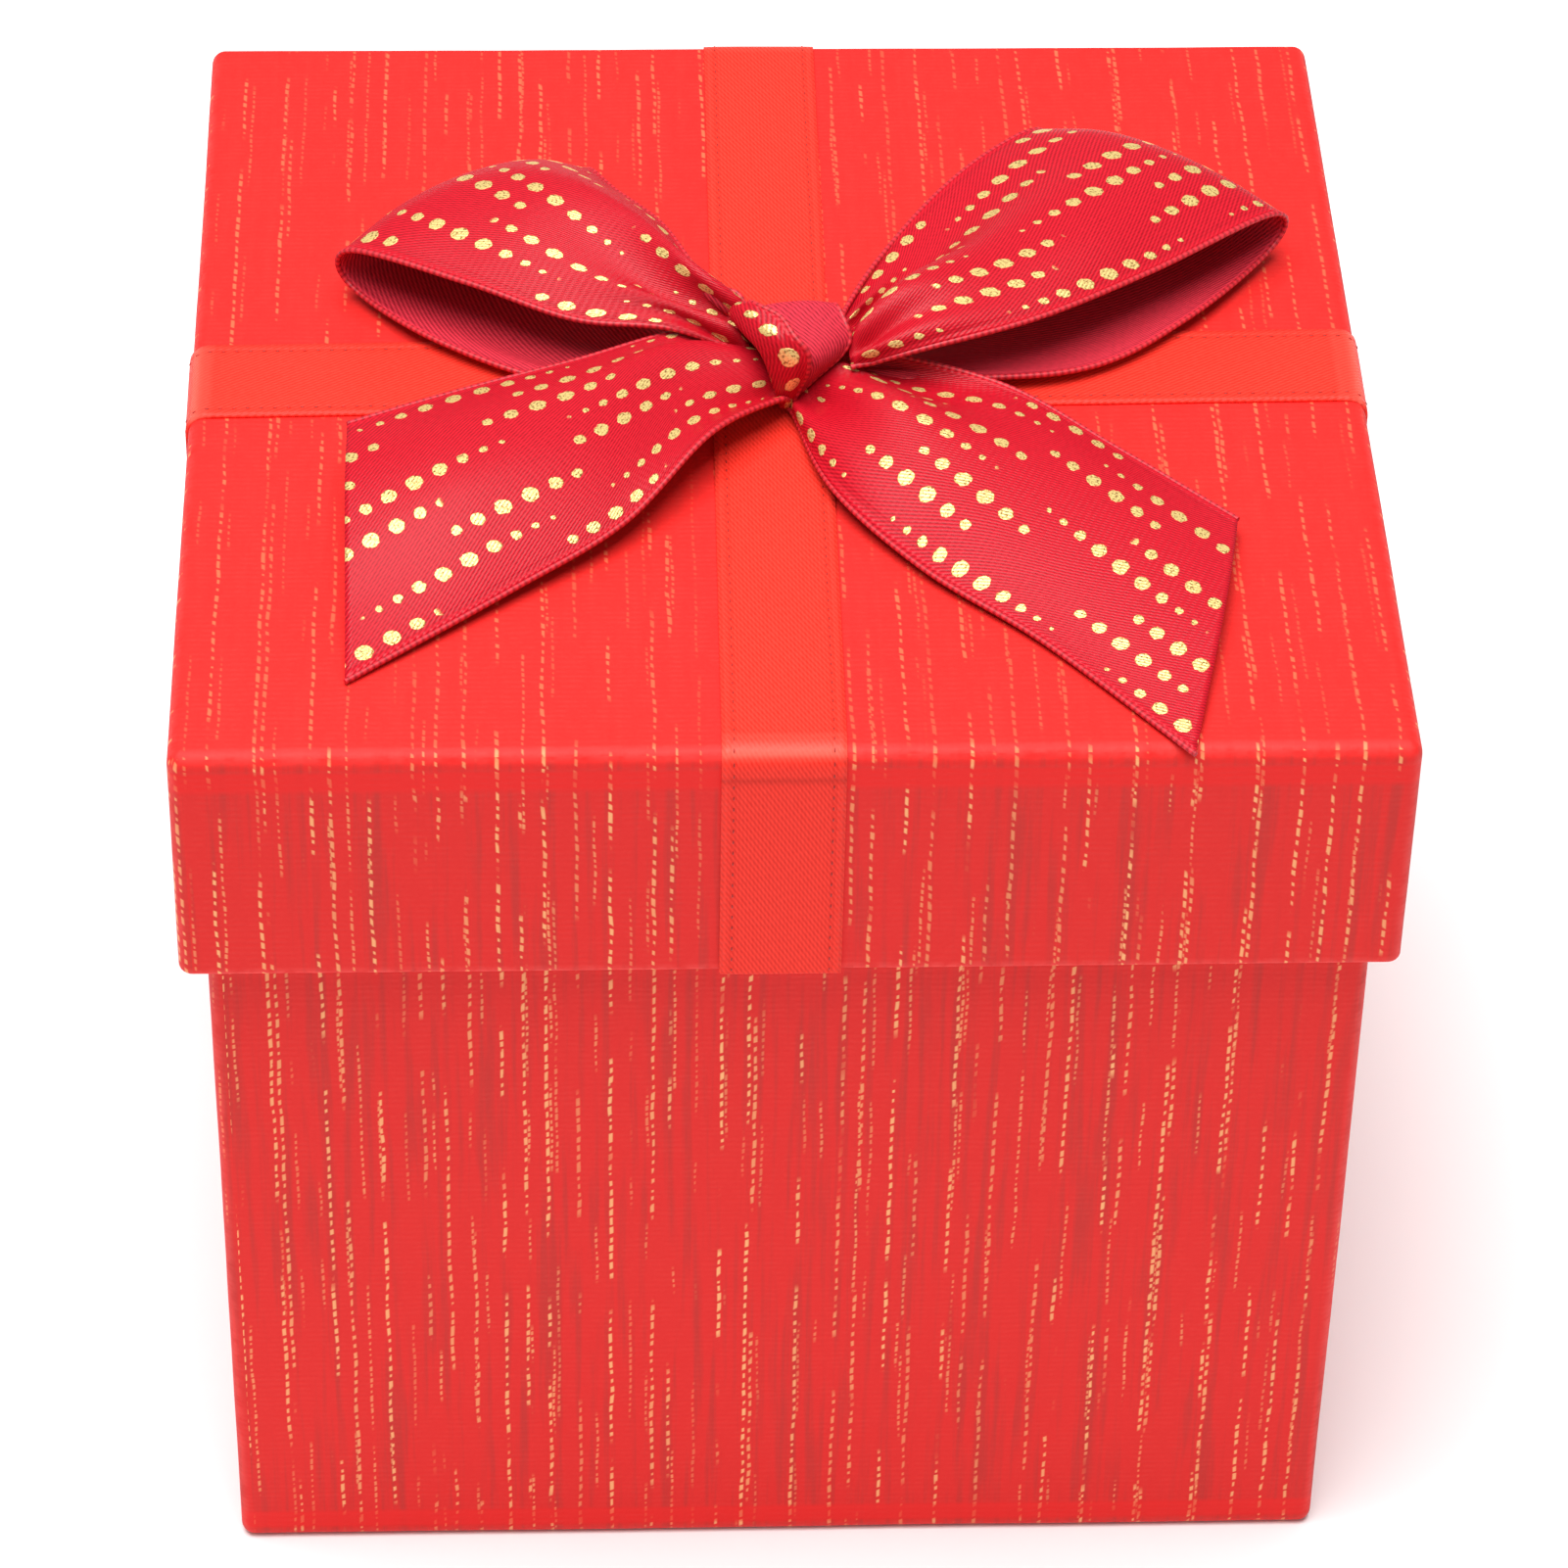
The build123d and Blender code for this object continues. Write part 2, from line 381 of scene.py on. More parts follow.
def weave_group():
    """Twill lines of woven ribbon, with the firm selvedge along both of its edges."""

    def build(g, i):
        across, along, width = g.millimetres(i["Across"], i["Along"], i["Width"])
        slant = g.math("MULTIPLY_ADD", across, i["Slant"], along)
        twill = g.math("SINE", g.math("MULTIPLY", slant, g.math("DIVIDE", 2 * math.pi, i["Pitch"])))
        cross = g.math("SINE", g.math("MULTIPLY", across, 2 * math.pi / 0.31))
        fuzz = g.noise(g.vector(across, along), scale=1.9, detail=3.0)
        twill = g.math("MULTIPLY_ADD", cross, 0.35, twill)
        height = g.math("MULTIPLY_ADD", twill, 0.33, g.math("MULTIPLY_ADD", fuzz, 0.5, 0.25))
        edge = g.math("MINIMUM", across, g.math("SUBTRACT", width, across))
        bead = g.math("SUBTRACT", 1.0, g.step(edge, 0.45, 0.8))
        roll = g.math("SINE", g.math("MULTIPLY", along, 2 * math.pi / 0.62))
        bead = g.math("MULTIPLY", bead, g.math("MULTIPLY_ADD", roll, 0.25, 0.75))
        groove = g.math("ABSOLUTE", g.math("SUBTRACT", edge, 0.95))
        groove = g.math("SUBTRACT", 1.0, g.step(groove, 0.1, 0.4))
        return [height, bead, groove]

    return node_group(
        "Ribbon Weave",
        [("Across", 0.0), ("Along", 0.0), ("Width", 0.01), ("Slant", 0.6), ("Pitch", 0.34)],
        ["Height", "Selvedge", "Groove"],
        build,
    )


def dot_group():
    """Rows of foil dots whose size swells and shrinks along the ribbon."""

    def build(g, i):
        across, along, width, spacing, wave = g.millimetres(
            i["Across"], i["Along"], i["Width"], i["Spacing"], i["Wave"]
        )
        pitch = g.math("DIVIDE", width, i["Rows"])
        row_place = g.math("DIVIDE", across, pitch)
        row = g.math("FLOOR", row_place)
        off_row = g.math("MULTIPLY", g.math("SUBTRACT", g.math("FRACT", row_place), 0.5), pitch)
        phase = g.math("SINE", g.math("MULTIPLY", row, 2.9))
        phase = g.math("MULTIPLY_ADD", row, 2.4, g.math("MULTIPLY_ADD", phase, 0.75, 0.75))
        turn = g.math("ADD", g.math("DIVIDE", g.math("MULTIPLY", along, 2 * math.pi), wave), phase)
        swing = g.math("DIVIDE", g.math("MULTIPLY", wave, 0.27), 2 * math.pi)
        warped = g.math("SUBTRACT", along, g.math("MULTIPLY", swing, g.math("SINE", turn)))
        beat = g.math("DIVIDE", warped, spacing)
        swell = g.math("COSINE", turn)
        stretch = g.math("DIVIDE", spacing, g.math("MULTIPLY_ADD", swell, -0.27, 1.0))
        off_dot = g.math("MULTIPLY", g.math("SUBTRACT", g.math("FRACT", beat), 0.5), stretch)
        radius = g.math("MULTIPLY_ADD", swell, 0.32, 0.46)
        wobble = g.noise(g.vector(across, along), scale=2.2, detail=1.0)
        radius = g.math("MULTIPLY_ADD", g.math("SUBTRACT", wobble, 0.5), 0.34, radius)
        away = g.math("ADD", g.math("POWER", off_row, 2.0), g.math("POWER", off_dot, 2.0))
        dots = g.step(g.math("SUBTRACT", radius, g.math("SQRT", away)), -0.03, 0.07)
        bare = g.math("SINE", g.math("MULTIPLY_ADD", row, 4.1, 1.0))
        bare = g.math("MULTIPLY_ADD", bare, 0.45, -0.4)
        return [g.math("MULTIPLY", dots, g.step(swell, bare, g.math("ADD", bare, 0.12)))]

    return node_group(
        "Foil Dots",
        [("Across", 0.0), ("Along", 0.0), ("Width", 0.025), ("Rows", 8.0)]
        + [("Spacing", 0.002), ("Wave", 0.025)],
        ["Mask"],
        build,
    )


GROUP_MAKERS = {
    "Foil Threads": thread_group,
    "Paper Streaks": streak_group,
    "Laid Paper": laid_group,
    "Ribbon Weave": weave_group,
    "Foil Dots": dot_group,
}


# ---------------------------------------------------------------- materials
def new_material(name):
    material = bpy.data.materials.new(name)
    material.use_nodes = True
    shader = next(n for n in material.node_tree.nodes if n.type == "BSDF_PRINCIPLED")
    return material, Graph(material.node_tree), shader


def cloth_place(graph):
    """(across, along) in metres from the piece's own flat map."""
    flat = graph.add("ShaderNodeUVMap", uv_map="flat").outputs[0]
    split = graph.add("ShaderNodeSeparateXYZ", flat).outputs
    return {"across": split[0], "along": split[1]}


def bump(graph, shader, height, distance, strength):
    node = graph.add("ShaderNodeBump")
    node.inputs["Strength"].default_value = strength
    node.inputs["Distance"].default_value = distance
    graph.feed(node.inputs["Height"], height)
    graph.feed(shader.inputs["Normal"], node.outputs[0])


def paper_material(settings):
    """Red laid paper with dark streaks, broken gold threads, and rubbed folds that also carry a painted
    highlight.
    """
    material, g, shader = new_material("wrapping_paper")
    place = cloth_place(g)
    streaks = use_group(g, "Paper Streaks", **place)["Mask"]
    laid = use_group(g, "Laid Paper", **place)["Height"]
    bold, thin = (
        use_group(
            g,
            "Foil Threads",
            **place,
            spacing=settings.thread_spacing * apart,
            dash=settings.dash_length * short,
            width=width,
            cover=cover,
            seed=seed,
        )["Mask"]
        for apart, short, width, cover, seed in (
            (1.0, 1.0, 0.29 * MM, 0.74, 5.0),
            (0.85, 0.7, 0.22 * MM, 0.5, 13.0),
        )
    )
    threads = g.math("MAXIMUM", bold, g.math("MULTIPLY", thin, 0.6))
    # threads and streaks are muted on the lid's panel, a painted stand-in for how the light falls on the top,
    # and just under its upper edges the paper is bare and coloured a brighter, deeper red
    along = place["along"]
    past_front = g.step(along, 0.0, PANEL_BLEND)
    before_back = g.step(along, PANEL_SPAN + PANEL_BLEND, PANEL_SPAN)
    on_panel = g.math("MULTIPLY", past_front, before_back)
    panel_light_fade = g.math("MULTIPLY_ADD", on_panel, -0.72, 1.0)
    below = g.step(along, -2.6 * MM, -1.9 * MM)
    under_edge = g.math("MULTIPLY", below, g.step(along, 0.0, -0.5 * MM))
    plain = g.math("SUBTRACT", 1.0, g.math("MULTIPLY", under_edge, 0.7))
    threads = g.math("MULTIPLY", threads, g.math("MULTIPLY", panel_light_fade, plain))
    streaks = g.math("MULTIPLY", streaks, g.math("MULTIPLY", panel_light_fade, plain))
    # lighter along the outer folds: partly rubbed paper, partly a painted highlight line on each fold
    wear_and_highlight = g.add("ShaderNodeAttribute", attribute_name="fold").outputs["Fac"]
    scuffs = g.noise(g.vector(place["across"], along), scale=700.0, detail=3.0)
    rub_and_highlight = g.math("MULTIPLY", wear_and_highlight, g.step(scuffs, 0.3, 0.6))
    tone = g.mix(g.math("MULTIPLY", streaks, 0.85), settings.red, settings.shade)
    tone = g.mix(g.math("MULTIPLY", laid, 0.2), tone, (1.0, 0.075, 0.06))
    tone = g.mix(g.math("MULTIPLY", under_edge, 0.6), tone, (0.86, 0.012, 0.010))
    tone = g.mix(g.math("MULTIPLY", rub_and_highlight, 0.6), tone, (1.0, 0.11, 0.10))
    g.feed(shader.inputs["Base Color"], g.mix(threads, tone, settings.thread))
    g.feed(shader.inputs["Roughness"], g.math("MULTIPLY_ADD", threads, -0.18, 0.56))
    shader.inputs["Specular IOR Level"].default_value = 0.2
    bump(g, shader, g.math("ADD", laid, g.math("MULTIPLY", threads, 0.5)), 0.06 * MM, 0.7)
    return material


def ribbon_material(name, colour, width, shiny, gloss, dots=None, pitch=0.62):
    """Woven ribbon: satin on its shiny side, plain twill on its back, foil dots if given."""
    material, g, shader = new_material(name)
    place = cloth_place(g)
    slant = 1.7 if shiny else 2.4
    weave = use_group(g, "Ribbon Weave", **place, width=width, slant=slant, pitch=pitch)
    # lit and shaded copies of the ribbon's colour: the real twill is shown by painted highlight and shade on
    # its lines, the selvedge bead by a painted highlight, and the groove beside it by painted shade
    light = [min(1.0, c * 1.3 + (0.004 if dots else 0.012)) for c in colour]
    depth = 0.52 if dots else 0.72 if shiny else 0.42
    dark = [c * depth for c in colour]
    tone = g.mix(weave["Height"], dark, light)
    tone = g.mix(g.math("MULTIPLY", weave["Selvedge"], 0.35), tone, light)
    tone = g.mix(g.math("MULTIPLY", weave["Groove"], 0.15), tone, dark)
    rough = 0.36 if shiny else 0.62
    height = g.math("ADD", weave["Height"], g.math("MULTIPLY", weave["Selvedge"], 1.6))
    height = g.math("SUBTRACT", height, g.math("MULTIPLY", weave["Groove"], 0.8))
    bend = g.add("ShaderNodeAttribute", attribute_name="bend").outputs["Fac"]
    # painted highlight where bend is above 0, painted shade where it is below 0
    tone = g.mix(g.math("MULTIPLY", bend, 0.35), tone, [1.0, 0.25, 0.18])
    tone = g.mix(g.math("MULTIPLY", bend, -0.45), tone, [c * 0.4 for c in colour])
    if dots:
        mask = use_group(
            g,
            "Foil Dots",
            **place,
            width=width,
            rows=float(dots.dot_rows),
            spacing=dots.dot_spacing,
            wave=dots.dot_wave,
        )["Mask"]
        # dark flecks in the foil are painted reflections, standing in for its glints
        glint_flecks = g.noise(g.vector(place["across"], place["along"]), scale=4200.0, detail=3.0)
        foil = g.mix(g.step(glint_flecks, 0.36, 0.5), (0.34, 0.17, 0.05), dots.foil)
        tone = g.mix(mask, tone, foil)
        g.feed(shader.inputs["Metallic"], g.math("MULTIPLY", mask, 0.45))
        g.feed(shader.inputs["Roughness"], g.math("MULTIPLY_ADD", mask, 0.30 - rough, rough))
        height = g.math("ADD", height, g.math("MULTIPLY", mask, 1.2))
    else:
        g.feed(shader.inputs["Roughness"], g.math("MULTIPLY_ADD", weave["Height"], 0.1, rough))
    g.feed(shader.inputs["Base Color"], tone)
    shader.inputs["Specular IOR Level"].default_value = gloss
    bump(g, shader, height, 0.035 * MM, 0.8 if shiny else 1.0)
    return material


def pulp_material(name, colour, fleck, scale, depth, rough):
    """Board, lining paper, tape and glue: flecked pulp on object coordinates."""
    material, g, shader = new_material(name)
    place = g.add("ShaderNodeTexCoord").outputs["Object"]
    coarse = g.noise(place, scale=scale, detail=4.0, rough=0.6)
    fine = g.noise(place, scale=scale * 6, detail=3.0, rough=0.6)
    tone = g.mix(g.step(coarse, 0.35, 0.68), colour, [c * 0.86 for c in colour])
    tone = g.mix(g.step(fine, 0.6, 0.74), tone, fleck)
    g.feed(shader.inputs["Base Color"], tone)
    g.feed(shader.inputs["Roughness"], g.math("MULTIPLY_ADD", coarse, 0.15, rough))
    bump(g, shader, g.math("ADD", coarse, fine), depth, 0.5)
    return material


# ---------------------------------------------------------------- mesh helpers
def new_piece(name, points, faces, maps, materials):
    """A smooth mesh object from arrays, with its flat map in metres."""
    mesh = bpy.data.meshes.new(name)
    mesh.from_pydata([tuple(p) for p in points], [], [tuple(f) for f in faces])
    layer = mesh.uv_layers.new(name="flat")
    layer.data.foreach_set("uv", np.array(maps, np.float32).ravel())
    for material in materials:
        mesh.materials.append(material)
    mesh.polygons.foreach_set("use_smooth", np.ones(len(mesh.polygons), bool))
    mesh.update()
    piece = bpy.data.objects.new(name, mesh)
    bpy.context.scene.collection.objects.link(piece)
    return piece


def bake_modifiers(piece):
    """Turns a piece with live modifiers into its plain mesh."""
    graph = bpy.context.evaluated_depsgraph_get()
    plain = bpy.data.meshes.new_from_object(piece.evaluated_get(graph))
    piece.modifiers.clear()
    old = piece.data
    piece.data = plain
    bpy.data.meshes.remove(old)
    plain.name = piece.name


def thicken(piece, thickness, back=0):
    """Gives a sheet its thickness on its back, with the material in slot `back` there."""
    modifier = piece.modifiers.new("thickness", "SOLIDIFY")
    modifier.thickness = thickness
    modifier.offset = -1.0
    modifier.material_offset = back
    bake_modifiers(piece)


def belongs(piece, slot, *nodes):
    """The piece rides on the body of the CAD nodes that it stands for, which it hides; slot is not used."""
    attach(piece, frame["nodes"][nodes[0]]["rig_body"])
    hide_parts(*nodes)


def travelled(points):
    """Distance along axis 0 of a path or a grid of points."""
    steps = np.linalg.norm(np.diff(points, axis=0), axis=-1)
    return np.concatenate([np.zeros((1,) + steps.shape[1:]), np.cumsum(steps, axis=0)])


def rounded_path(corners, radii, step):
    """A 2-D path with rounded corners, its points closer together beside each bend."""
    corners = [np.array(corner, float) for corner in corners]
    runs = []
    start = corners[0]
    for before, corner, after, radius in zip(corners, corners[1:], corners[2:], radii):
        into = (corner - before) / np.linalg.norm(corner - before)
        out = (after - corner) / np.linalg.norm(after - corner)
        turn = math.acos(max(-1.0, min(1.0, float(into @ out))))
        left = math.copysign(1.0, into[0] * out[1] - into[1] * out[0])
        first = corner - into * radius * math.tan(turn / 2)
        centre = first + radius * left * np.array([-into[1], into[0]])
        runs.append((start, first))
        arc = []
        count = max(3, int(turn / math.radians(11)))
        for k in range(1, count + 1):
            angle = left * turn * k / count
            c, s = math.cos(angle), math.sin(angle)
            spin = np.array([[c, -s], [s, c]])
            arc.append(centre + spin @ (first - centre))
        runs.append(arc)
        start = arc[-1]
    runs.append((start, corners[-1]))
    path = [corners[0]]
    for run in runs:
        if isinstance(run, list):
            path.extend(run)
            continue
        begin, end = run
        length = np.linalg.norm(end - begin)
        marks = set(np.linspace(0, length, max(1, round(length / step)) + 1)[1:])
        beside = (0.4 * MM, 0.9 * MM, length - 0.9 * MM, length - 0.4 * MM)
        marks |= {mark for mark in beside if 0 < mark < length}
        last = 0.0
        for mark in sorted(marks):
            if mark - last > 0.15 * MM and (mark == length or length - mark > 0.15 * MM):
                path.append(begin + (end - begin) * mark / length)
                last = mark
    return np.array(path)


def unevenness(place):
    """How far handmade paper stands off its board at a place on the lid or the base."""
    broad = noise.noise(place / (26 * MM))
    small = noise.noise(place / (7 * MM) + Vector((9.0, 3.0, 5.0)))
    return (0.5 + 0.35 * broad + 0.15 * small) * 0.16 * MM


# ---------------------------------------------------------------- wrapped paper shells
SIDE_CELLS = 60
CORNER_CELLS = 6
RING = 4 * (SIDE_CELLS + CORNER_CELLS)


def shell_ring(half, inset):
    """One ring of a rounded square, going round from the front left corner."""
    arm = half - max(CORNER_RADIUS, inset)
    bend = max(CORNER_RADIUS - inset, 0.0)
    front = [(arm * (2 * k / SIDE_CELLS - 1), inset - half) for k in range(SIDE_CELLS)]
    for k in range(CORNER_CELLS):
        angle = math.pi / 2 * (k / CORNER_CELLS - 1)
        front.append((arm + bend * math.cos(angle), -arm + bend * math.sin(angle)))
    ring = []
    for side in range(4):
        c, s = round(math.cos(side * math.pi / 2)), round(math.sin(side * math.pi / 2))
        ring.extend((c * x - s * y, s * x + c * y) for x, y in front)
    return ring


def wrapped_shell(name, half, profile, material, opens_up):
    """Paper round a square tray: profile is (inset, height) from its hidden end to the panel."""
    panel_z = profile[-1][1]
    travel = travelled(profile)
    bend_start = max(i for i, p in enumerate(profile) if p[0] < 0.01 * MM)
    travel -= travel[bend_start]
    arm = half - CORNER_RADIUS
    places = [arm * (2 * k / SIDE_CELLS - 1) for k in range(SIDE_CELLS)]
    quarter = CORNER_RADIUS * math.pi / 2
    places += [arm + quarter * k / CORNER_CELLS for k in range(CORNER_CELLS + 1)]
    points = [(x, y, z) for inset, z in profile for x, y in shell_ring(half, inset)]
    faces, maps = [], []
    for i in range(len(profile) - 1):
        slope = profile[i + 1] - profile[i]
        on_panel = i >= bend_start and abs(slope[0]) > abs(slope[1])
        for j in range(RING):
            side, local = divmod(j, SIDE_CELLS + CORNER_CELLS)
            k = (j + 1) % RING
            face = [i * RING + j, i * RING + k, (i + 1) * RING + k, (i + 1) * RING + j]
            faces.append(face)
            if on_panel:
                maps.extend((points[p][0], points[p][1] + half) for p in face)
                continue
            turned = -1 if side == 2 else 1
            shift = (0.0, 3.1 * half, 0.0, 6.7 * half)[side]
            for column, row in ((local, i), (local + 1, i), (local + 1, i + 1), (local, i + 1)):
                along = travel[row] if side != 2 else 2 * half - travel[row]
                maps.append((turned * places[column] + shift, along))
    first = len(points)
    reach = half - PANEL_INSET
    marks = [reach * (2 * k / SIDE_CELLS - 1) for k in range(SIDE_CELLS + 1)]
    points.extend((x, y, panel_z) for x in marks for y in marks)
    for a in range(SIDE_CELLS):
        for b in range(SIDE_CELLS):
            low = first + a * (SIDE_CELLS + 1) + b
            face = [low, low + SIDE_CELLS + 1, low + SIDE_CELLS + 2, low + 1]
            faces.append(face)
            maps.extend((points[p][0], points[p][1] + half) for p in face)
    if opens_up:
        faces = [face[::-1] for face in faces]
        maps = [place for n in range(len(faces)) for place in maps[4 * n : 4 * n + 4][::-1]]
    piece = new_piece(name, points, faces, maps, [material])
    work = bmesh.new()
    work.from_mesh(piece.data)
    bmesh.ops.remove_doubles(work, verts=work.verts, dist=0.003 * MM)
    work.to_mesh(piece.data)
    work.free()
    return piece


def fold_wear_and_highlight(place, half, levels):
    """1 on an outer fold of the paper and 0 away from it: where wear and a painted highlight go."""
    x, y = sorted((abs(place.x), abs(place.y)))
    upright = math.hypot(max(0.0, half - x), half - y)
    off = [upright] + [math.hypot(abs(place.z - level), half - y) for level in levels]
    return math.exp(-((min(off) / (0.5 * MM)) ** 2))


def finish_shell(piece, half, levels, pocket_height=None):
    """Handmade unevenness, the pockets that the band ends lie in, wear and a painted highlight on folds,
    thickness.
    """
    mesh = piece.data
    normals = [vertex.normal.copy() for vertex in mesh.vertices]
    fold = mesh.attributes.new("fold", "FLOAT", "POINT")
    inside = half - WALL_BUILD
    for vertex, normal in zip(mesh.vertices, normals):
        place = vertex.co.copy()
        near, far = sorted((abs(place.x), abs(place.y)))
        fold.data[vertex.index].value = fold_wear_and_highlight(place, half, levels)
        if far > inside + 0.05 * MM or abs(normal.z) > 0.5:
            vertex.co += normal * unevenness(place)
        elif pocket_height and near < BAND_WIDTH / 2 + 0.9 * MM and place.z < pocket_height:
            depth = min(1.0, (BAND_WIDTH / 2 + 0.9 * MM - near) / (0.6 * MM))
            vertex.co -= normal * BAND_THICKNESS * depth
    mesh.update()
    thicken(piece, PAPER)


# ---------------------------------------------------------------- ribbons
def ribbon_sheet(name, grid, across, along, materials, thickness):
    """A ribbon from a grid [along, across] of points and flat distances, with its thickness."""
    rows, columns = grid.shape[:2]
    faces, maps = [], []
    for i in range(rows - 1):
        for j in range(columns - 1):
            corners = [(i, j), (i, j + 1), (i + 1, j + 1), (i + 1, j)]
            faces.append([a * columns + b for a, b in corners])
            maps.extend((across[a, b], along[a, b]) for a, b in corners)
    piece = new_piece(name, grid.reshape(-1, 3), faces, maps, materials)
    thicken(piece, thickness, len(materials) - 1)
    return piece


def grid_normals(grid):
    along = np.gradient(grid, axis=0)
    across = np.gradient(grid, axis=1)
    normal = np.cross(across, along)
    return normal / np.maximum(np.linalg.norm(normal, axis=-1, keepdims=True), 1e-12)


def edge_lines(grid, inset, lift, width):
    """Lines that run along a ribbon at a distance from both its edges, lifted off its face."""
    share = inset / width * (grid.shape[1] - 1)
    lines = []
    raised = grid + grid_normals(grid) * lift
    for place in (share, grid.shape[1] - 1 - share):
        low = min(int(place), grid.shape[1] - 2)
        lines.append(raised[:, low] * (low + 1 - place) + raised[:, low + 1] * (place - low))
    return lines


def geometry_tree(name, inputs, build):
    """A Geometry Nodes tree with named inputs, ending in Realize Instances and Set Material."""
    tree = bpy.data.node_groups.new(name, "GeometryNodeTree")
    tree.interface.new_socket("Lines", in_out="INPUT", socket_type="NodeSocketGeometry")
    for label in inputs:
        tree.interface.new_socket(label, in_out="INPUT", socket_type="NodeSocketFloat")
    tree.interface.new_socket("Thread", in_out="INPUT", socket_type="NodeSocketMaterial")
    tree.interface.new_socket("Geometry", in_out="OUTPUT", socket_type="NodeSocketGeometry")
    graph = Graph(tree)
    entry = tree.nodes.new("NodeGroupInput")
    curve = graph.add("GeometryNodeMeshToCurve", entry.outputs["Lines"]).outputs[0]
    made = build(graph, curve, entry.outputs)
    real = graph.add("GeometryNodeRealizeInstances", made).outputs[0]
    smooth = graph.add("GeometryNodeSetShadeSmooth", real).outputs[0]
    coloured = tree.nodes.new("GeometryNodeSetMaterial")
    graph.feed(coloured.inputs["Geometry"], smooth)
    graph.feed(coloured.inputs["Material"], entry.outputs["Thread"])
    leave = tree.nodes.new("NodeGroupOutput")
    tree.links.new(coloured.outputs[0], leave.inputs[0])
    return tree


def stitch_tree():
    """Short stitches laid end to end along lines."""

    def build(g, curve, inputs):
        spaced = g.tree.nodes.new("GeometryNodeResampleCurve")
        spaced.mode = "LENGTH"
        g.feed(spaced.inputs["Curve"], curve)
        g.feed(spaced.inputs["Length"], inputs["Pitch"])
        grain = g.add("GeometryNodeMeshUVSphere", 6, 4, 0.5).outputs[0]
        shape = g.tree.nodes.new("GeometryNodeTransform")
        g.feed(shape.inputs["Geometry"], grain)
        size = g.vector(inputs["Length"], inputs["Thickness"], inputs["Thickness"])
        g.feed(shape.inputs["Scale"], size)
        turn = g.tree.nodes.new("FunctionNodeAlignRotationToVector")
        turn.axis = "X"
        g.feed(turn.inputs["Vector"], g.tree.nodes.new("GeometryNodeInputTangent").outputs[0])
        placed = g.tree.nodes.new("GeometryNodeInstanceOnPoints")
        g.feed(placed.inputs["Points"], spaced.outputs[0])
        g.feed(placed.inputs["Instance"], shape.outputs[0])
        g.feed(placed.inputs["Rotation"], turn.outputs[0])
        return placed.outputs[0]

    return geometry_tree("Edge Stitches", ["Pitch", "Length", "Thickness"], build)


def cord_tree():
    """A fine corded edge that swells at every turn of its thread."""

    def build(g, curve, inputs):
        spaced = g.tree.nodes.new("GeometryNodeResampleCurve")
        spaced.mode = "LENGTH"
        g.feed(spaced.inputs["Curve"], curve)
        g.feed(spaced.inputs["Length"], g.math("DIVIDE", inputs["Turn"], 4.0))
        count = g.tree.nodes.new("GeometryNodeInputIndex").outputs[0]
        swell = g.math("SINE", g.math("MULTIPLY", count, math.pi / 2))
        marked = g.tree.nodes.new("GeometryNodeStoreNamedAttribute")
        g.feed(marked.inputs["Geometry"], spaced.outputs[0])
        g.feed(marked.inputs["Name"], "twist")
        g.feed(marked.inputs["Value"], g.math("MULTIPLY_ADD", swell, 0.5, 0.5))
        radius = g.tree.nodes.new("GeometryNodeSetCurveRadius")
        g.feed(radius.inputs["Curve"], marked.outputs[0])
        g.feed(radius.inputs["Radius"], g.math("MULTIPLY_ADD", swell, 0.32, 1.0))
        ring = g.tree.nodes.new("GeometryNodeCurvePrimitiveCircle")
        ring.inputs["Resolution"].default_value = 6
        g.feed(ring.inputs["Radius"], inputs["Radius"])
        sweep = g.tree.nodes.new("GeometryNodeCurveToMesh")
        g.feed(sweep.inputs["Curve"], radius.outputs[0])
        g.feed(sweep.inputs["Profile Curve"], ring.outputs[0])
        sweep.inputs["Fill Caps"].default_value = True
        return sweep.outputs[0]

    return geometry_tree("Corded Edge", ["Radius", "Turn"], build)


TREE_MAKERS = {"Edge Stitches": stitch_tree, "Corded Edge": cord_tree}


def along_lines(name, lines, tree_name, thread, **values):
    """A plain mesh that a Geometry Nodes tree makes along lines."""
    points, edges = [], []
    for line in lines:
        edges.extend((len(points) + k, len(points) + k + 1) for k in range(len(line) - 1))
        points.extend(tuple(p) for p in line)
    mesh = bpy.data.meshes.new(name)
    mesh.from_pydata(points, edges, [])
    piece = bpy.data.objects.new(name, mesh)
    bpy.context.scene.collection.objects.link(piece)
    tree = bpy.data.node_groups.get(tree_name) or TREE_MAKERS[tree_name]()
    modifier = piece.modifiers.new("thread", "NODES")
    modifier.node_group = tree
    sockets = {item.name: item.identifier for item in tree.interface.items_tree}
    modifier[sockets["Thread"]] = thread
    for label, value in values.items():
        modifier[sockets[label.capitalize()]] = value
    bake_modifiers(piece)
    return piece


# ---------------------------------------------------------------- flat bands
BAND_COLUMNS = 17


def band_grid(path, centre, toward_x):
    """Points of a band across its path; toward_x turns the path into the left-right plane."""
    offsets = np.linspace(-BAND_WIDTH / 2, BAND_WIDTH / 2, BAND_COLUMNS)
    grid = np.zeros((len(path), BAND_COLUMNS, 3))
    for i, (out, z) in enumerate(path):
        for j, offset in enumerate(offsets):
            if toward_x:
                grid[i, j] = (out, centre(out) + offset, z)
            else:
                grid[i, j] = (centre(-out) + offset, -out, z)
    normals = grid_normals(grid)
    for i in range(grid.shape[0]):
        for j in range(BAND_COLUMNS):
            place = Vector(grid[i, j])
            outer = max(abs(place.x), abs(place.y)) > LID_HALF - 0.5 * MM or place.z > LID_TOP
            if outer:
                curl = 1.0 - 0.35 * abs(2 * j / (BAND_COLUMNS - 1) - 1) ** 6
                grid[i, j] += normals[i, j] * unevenness(place) * curl
    return grid


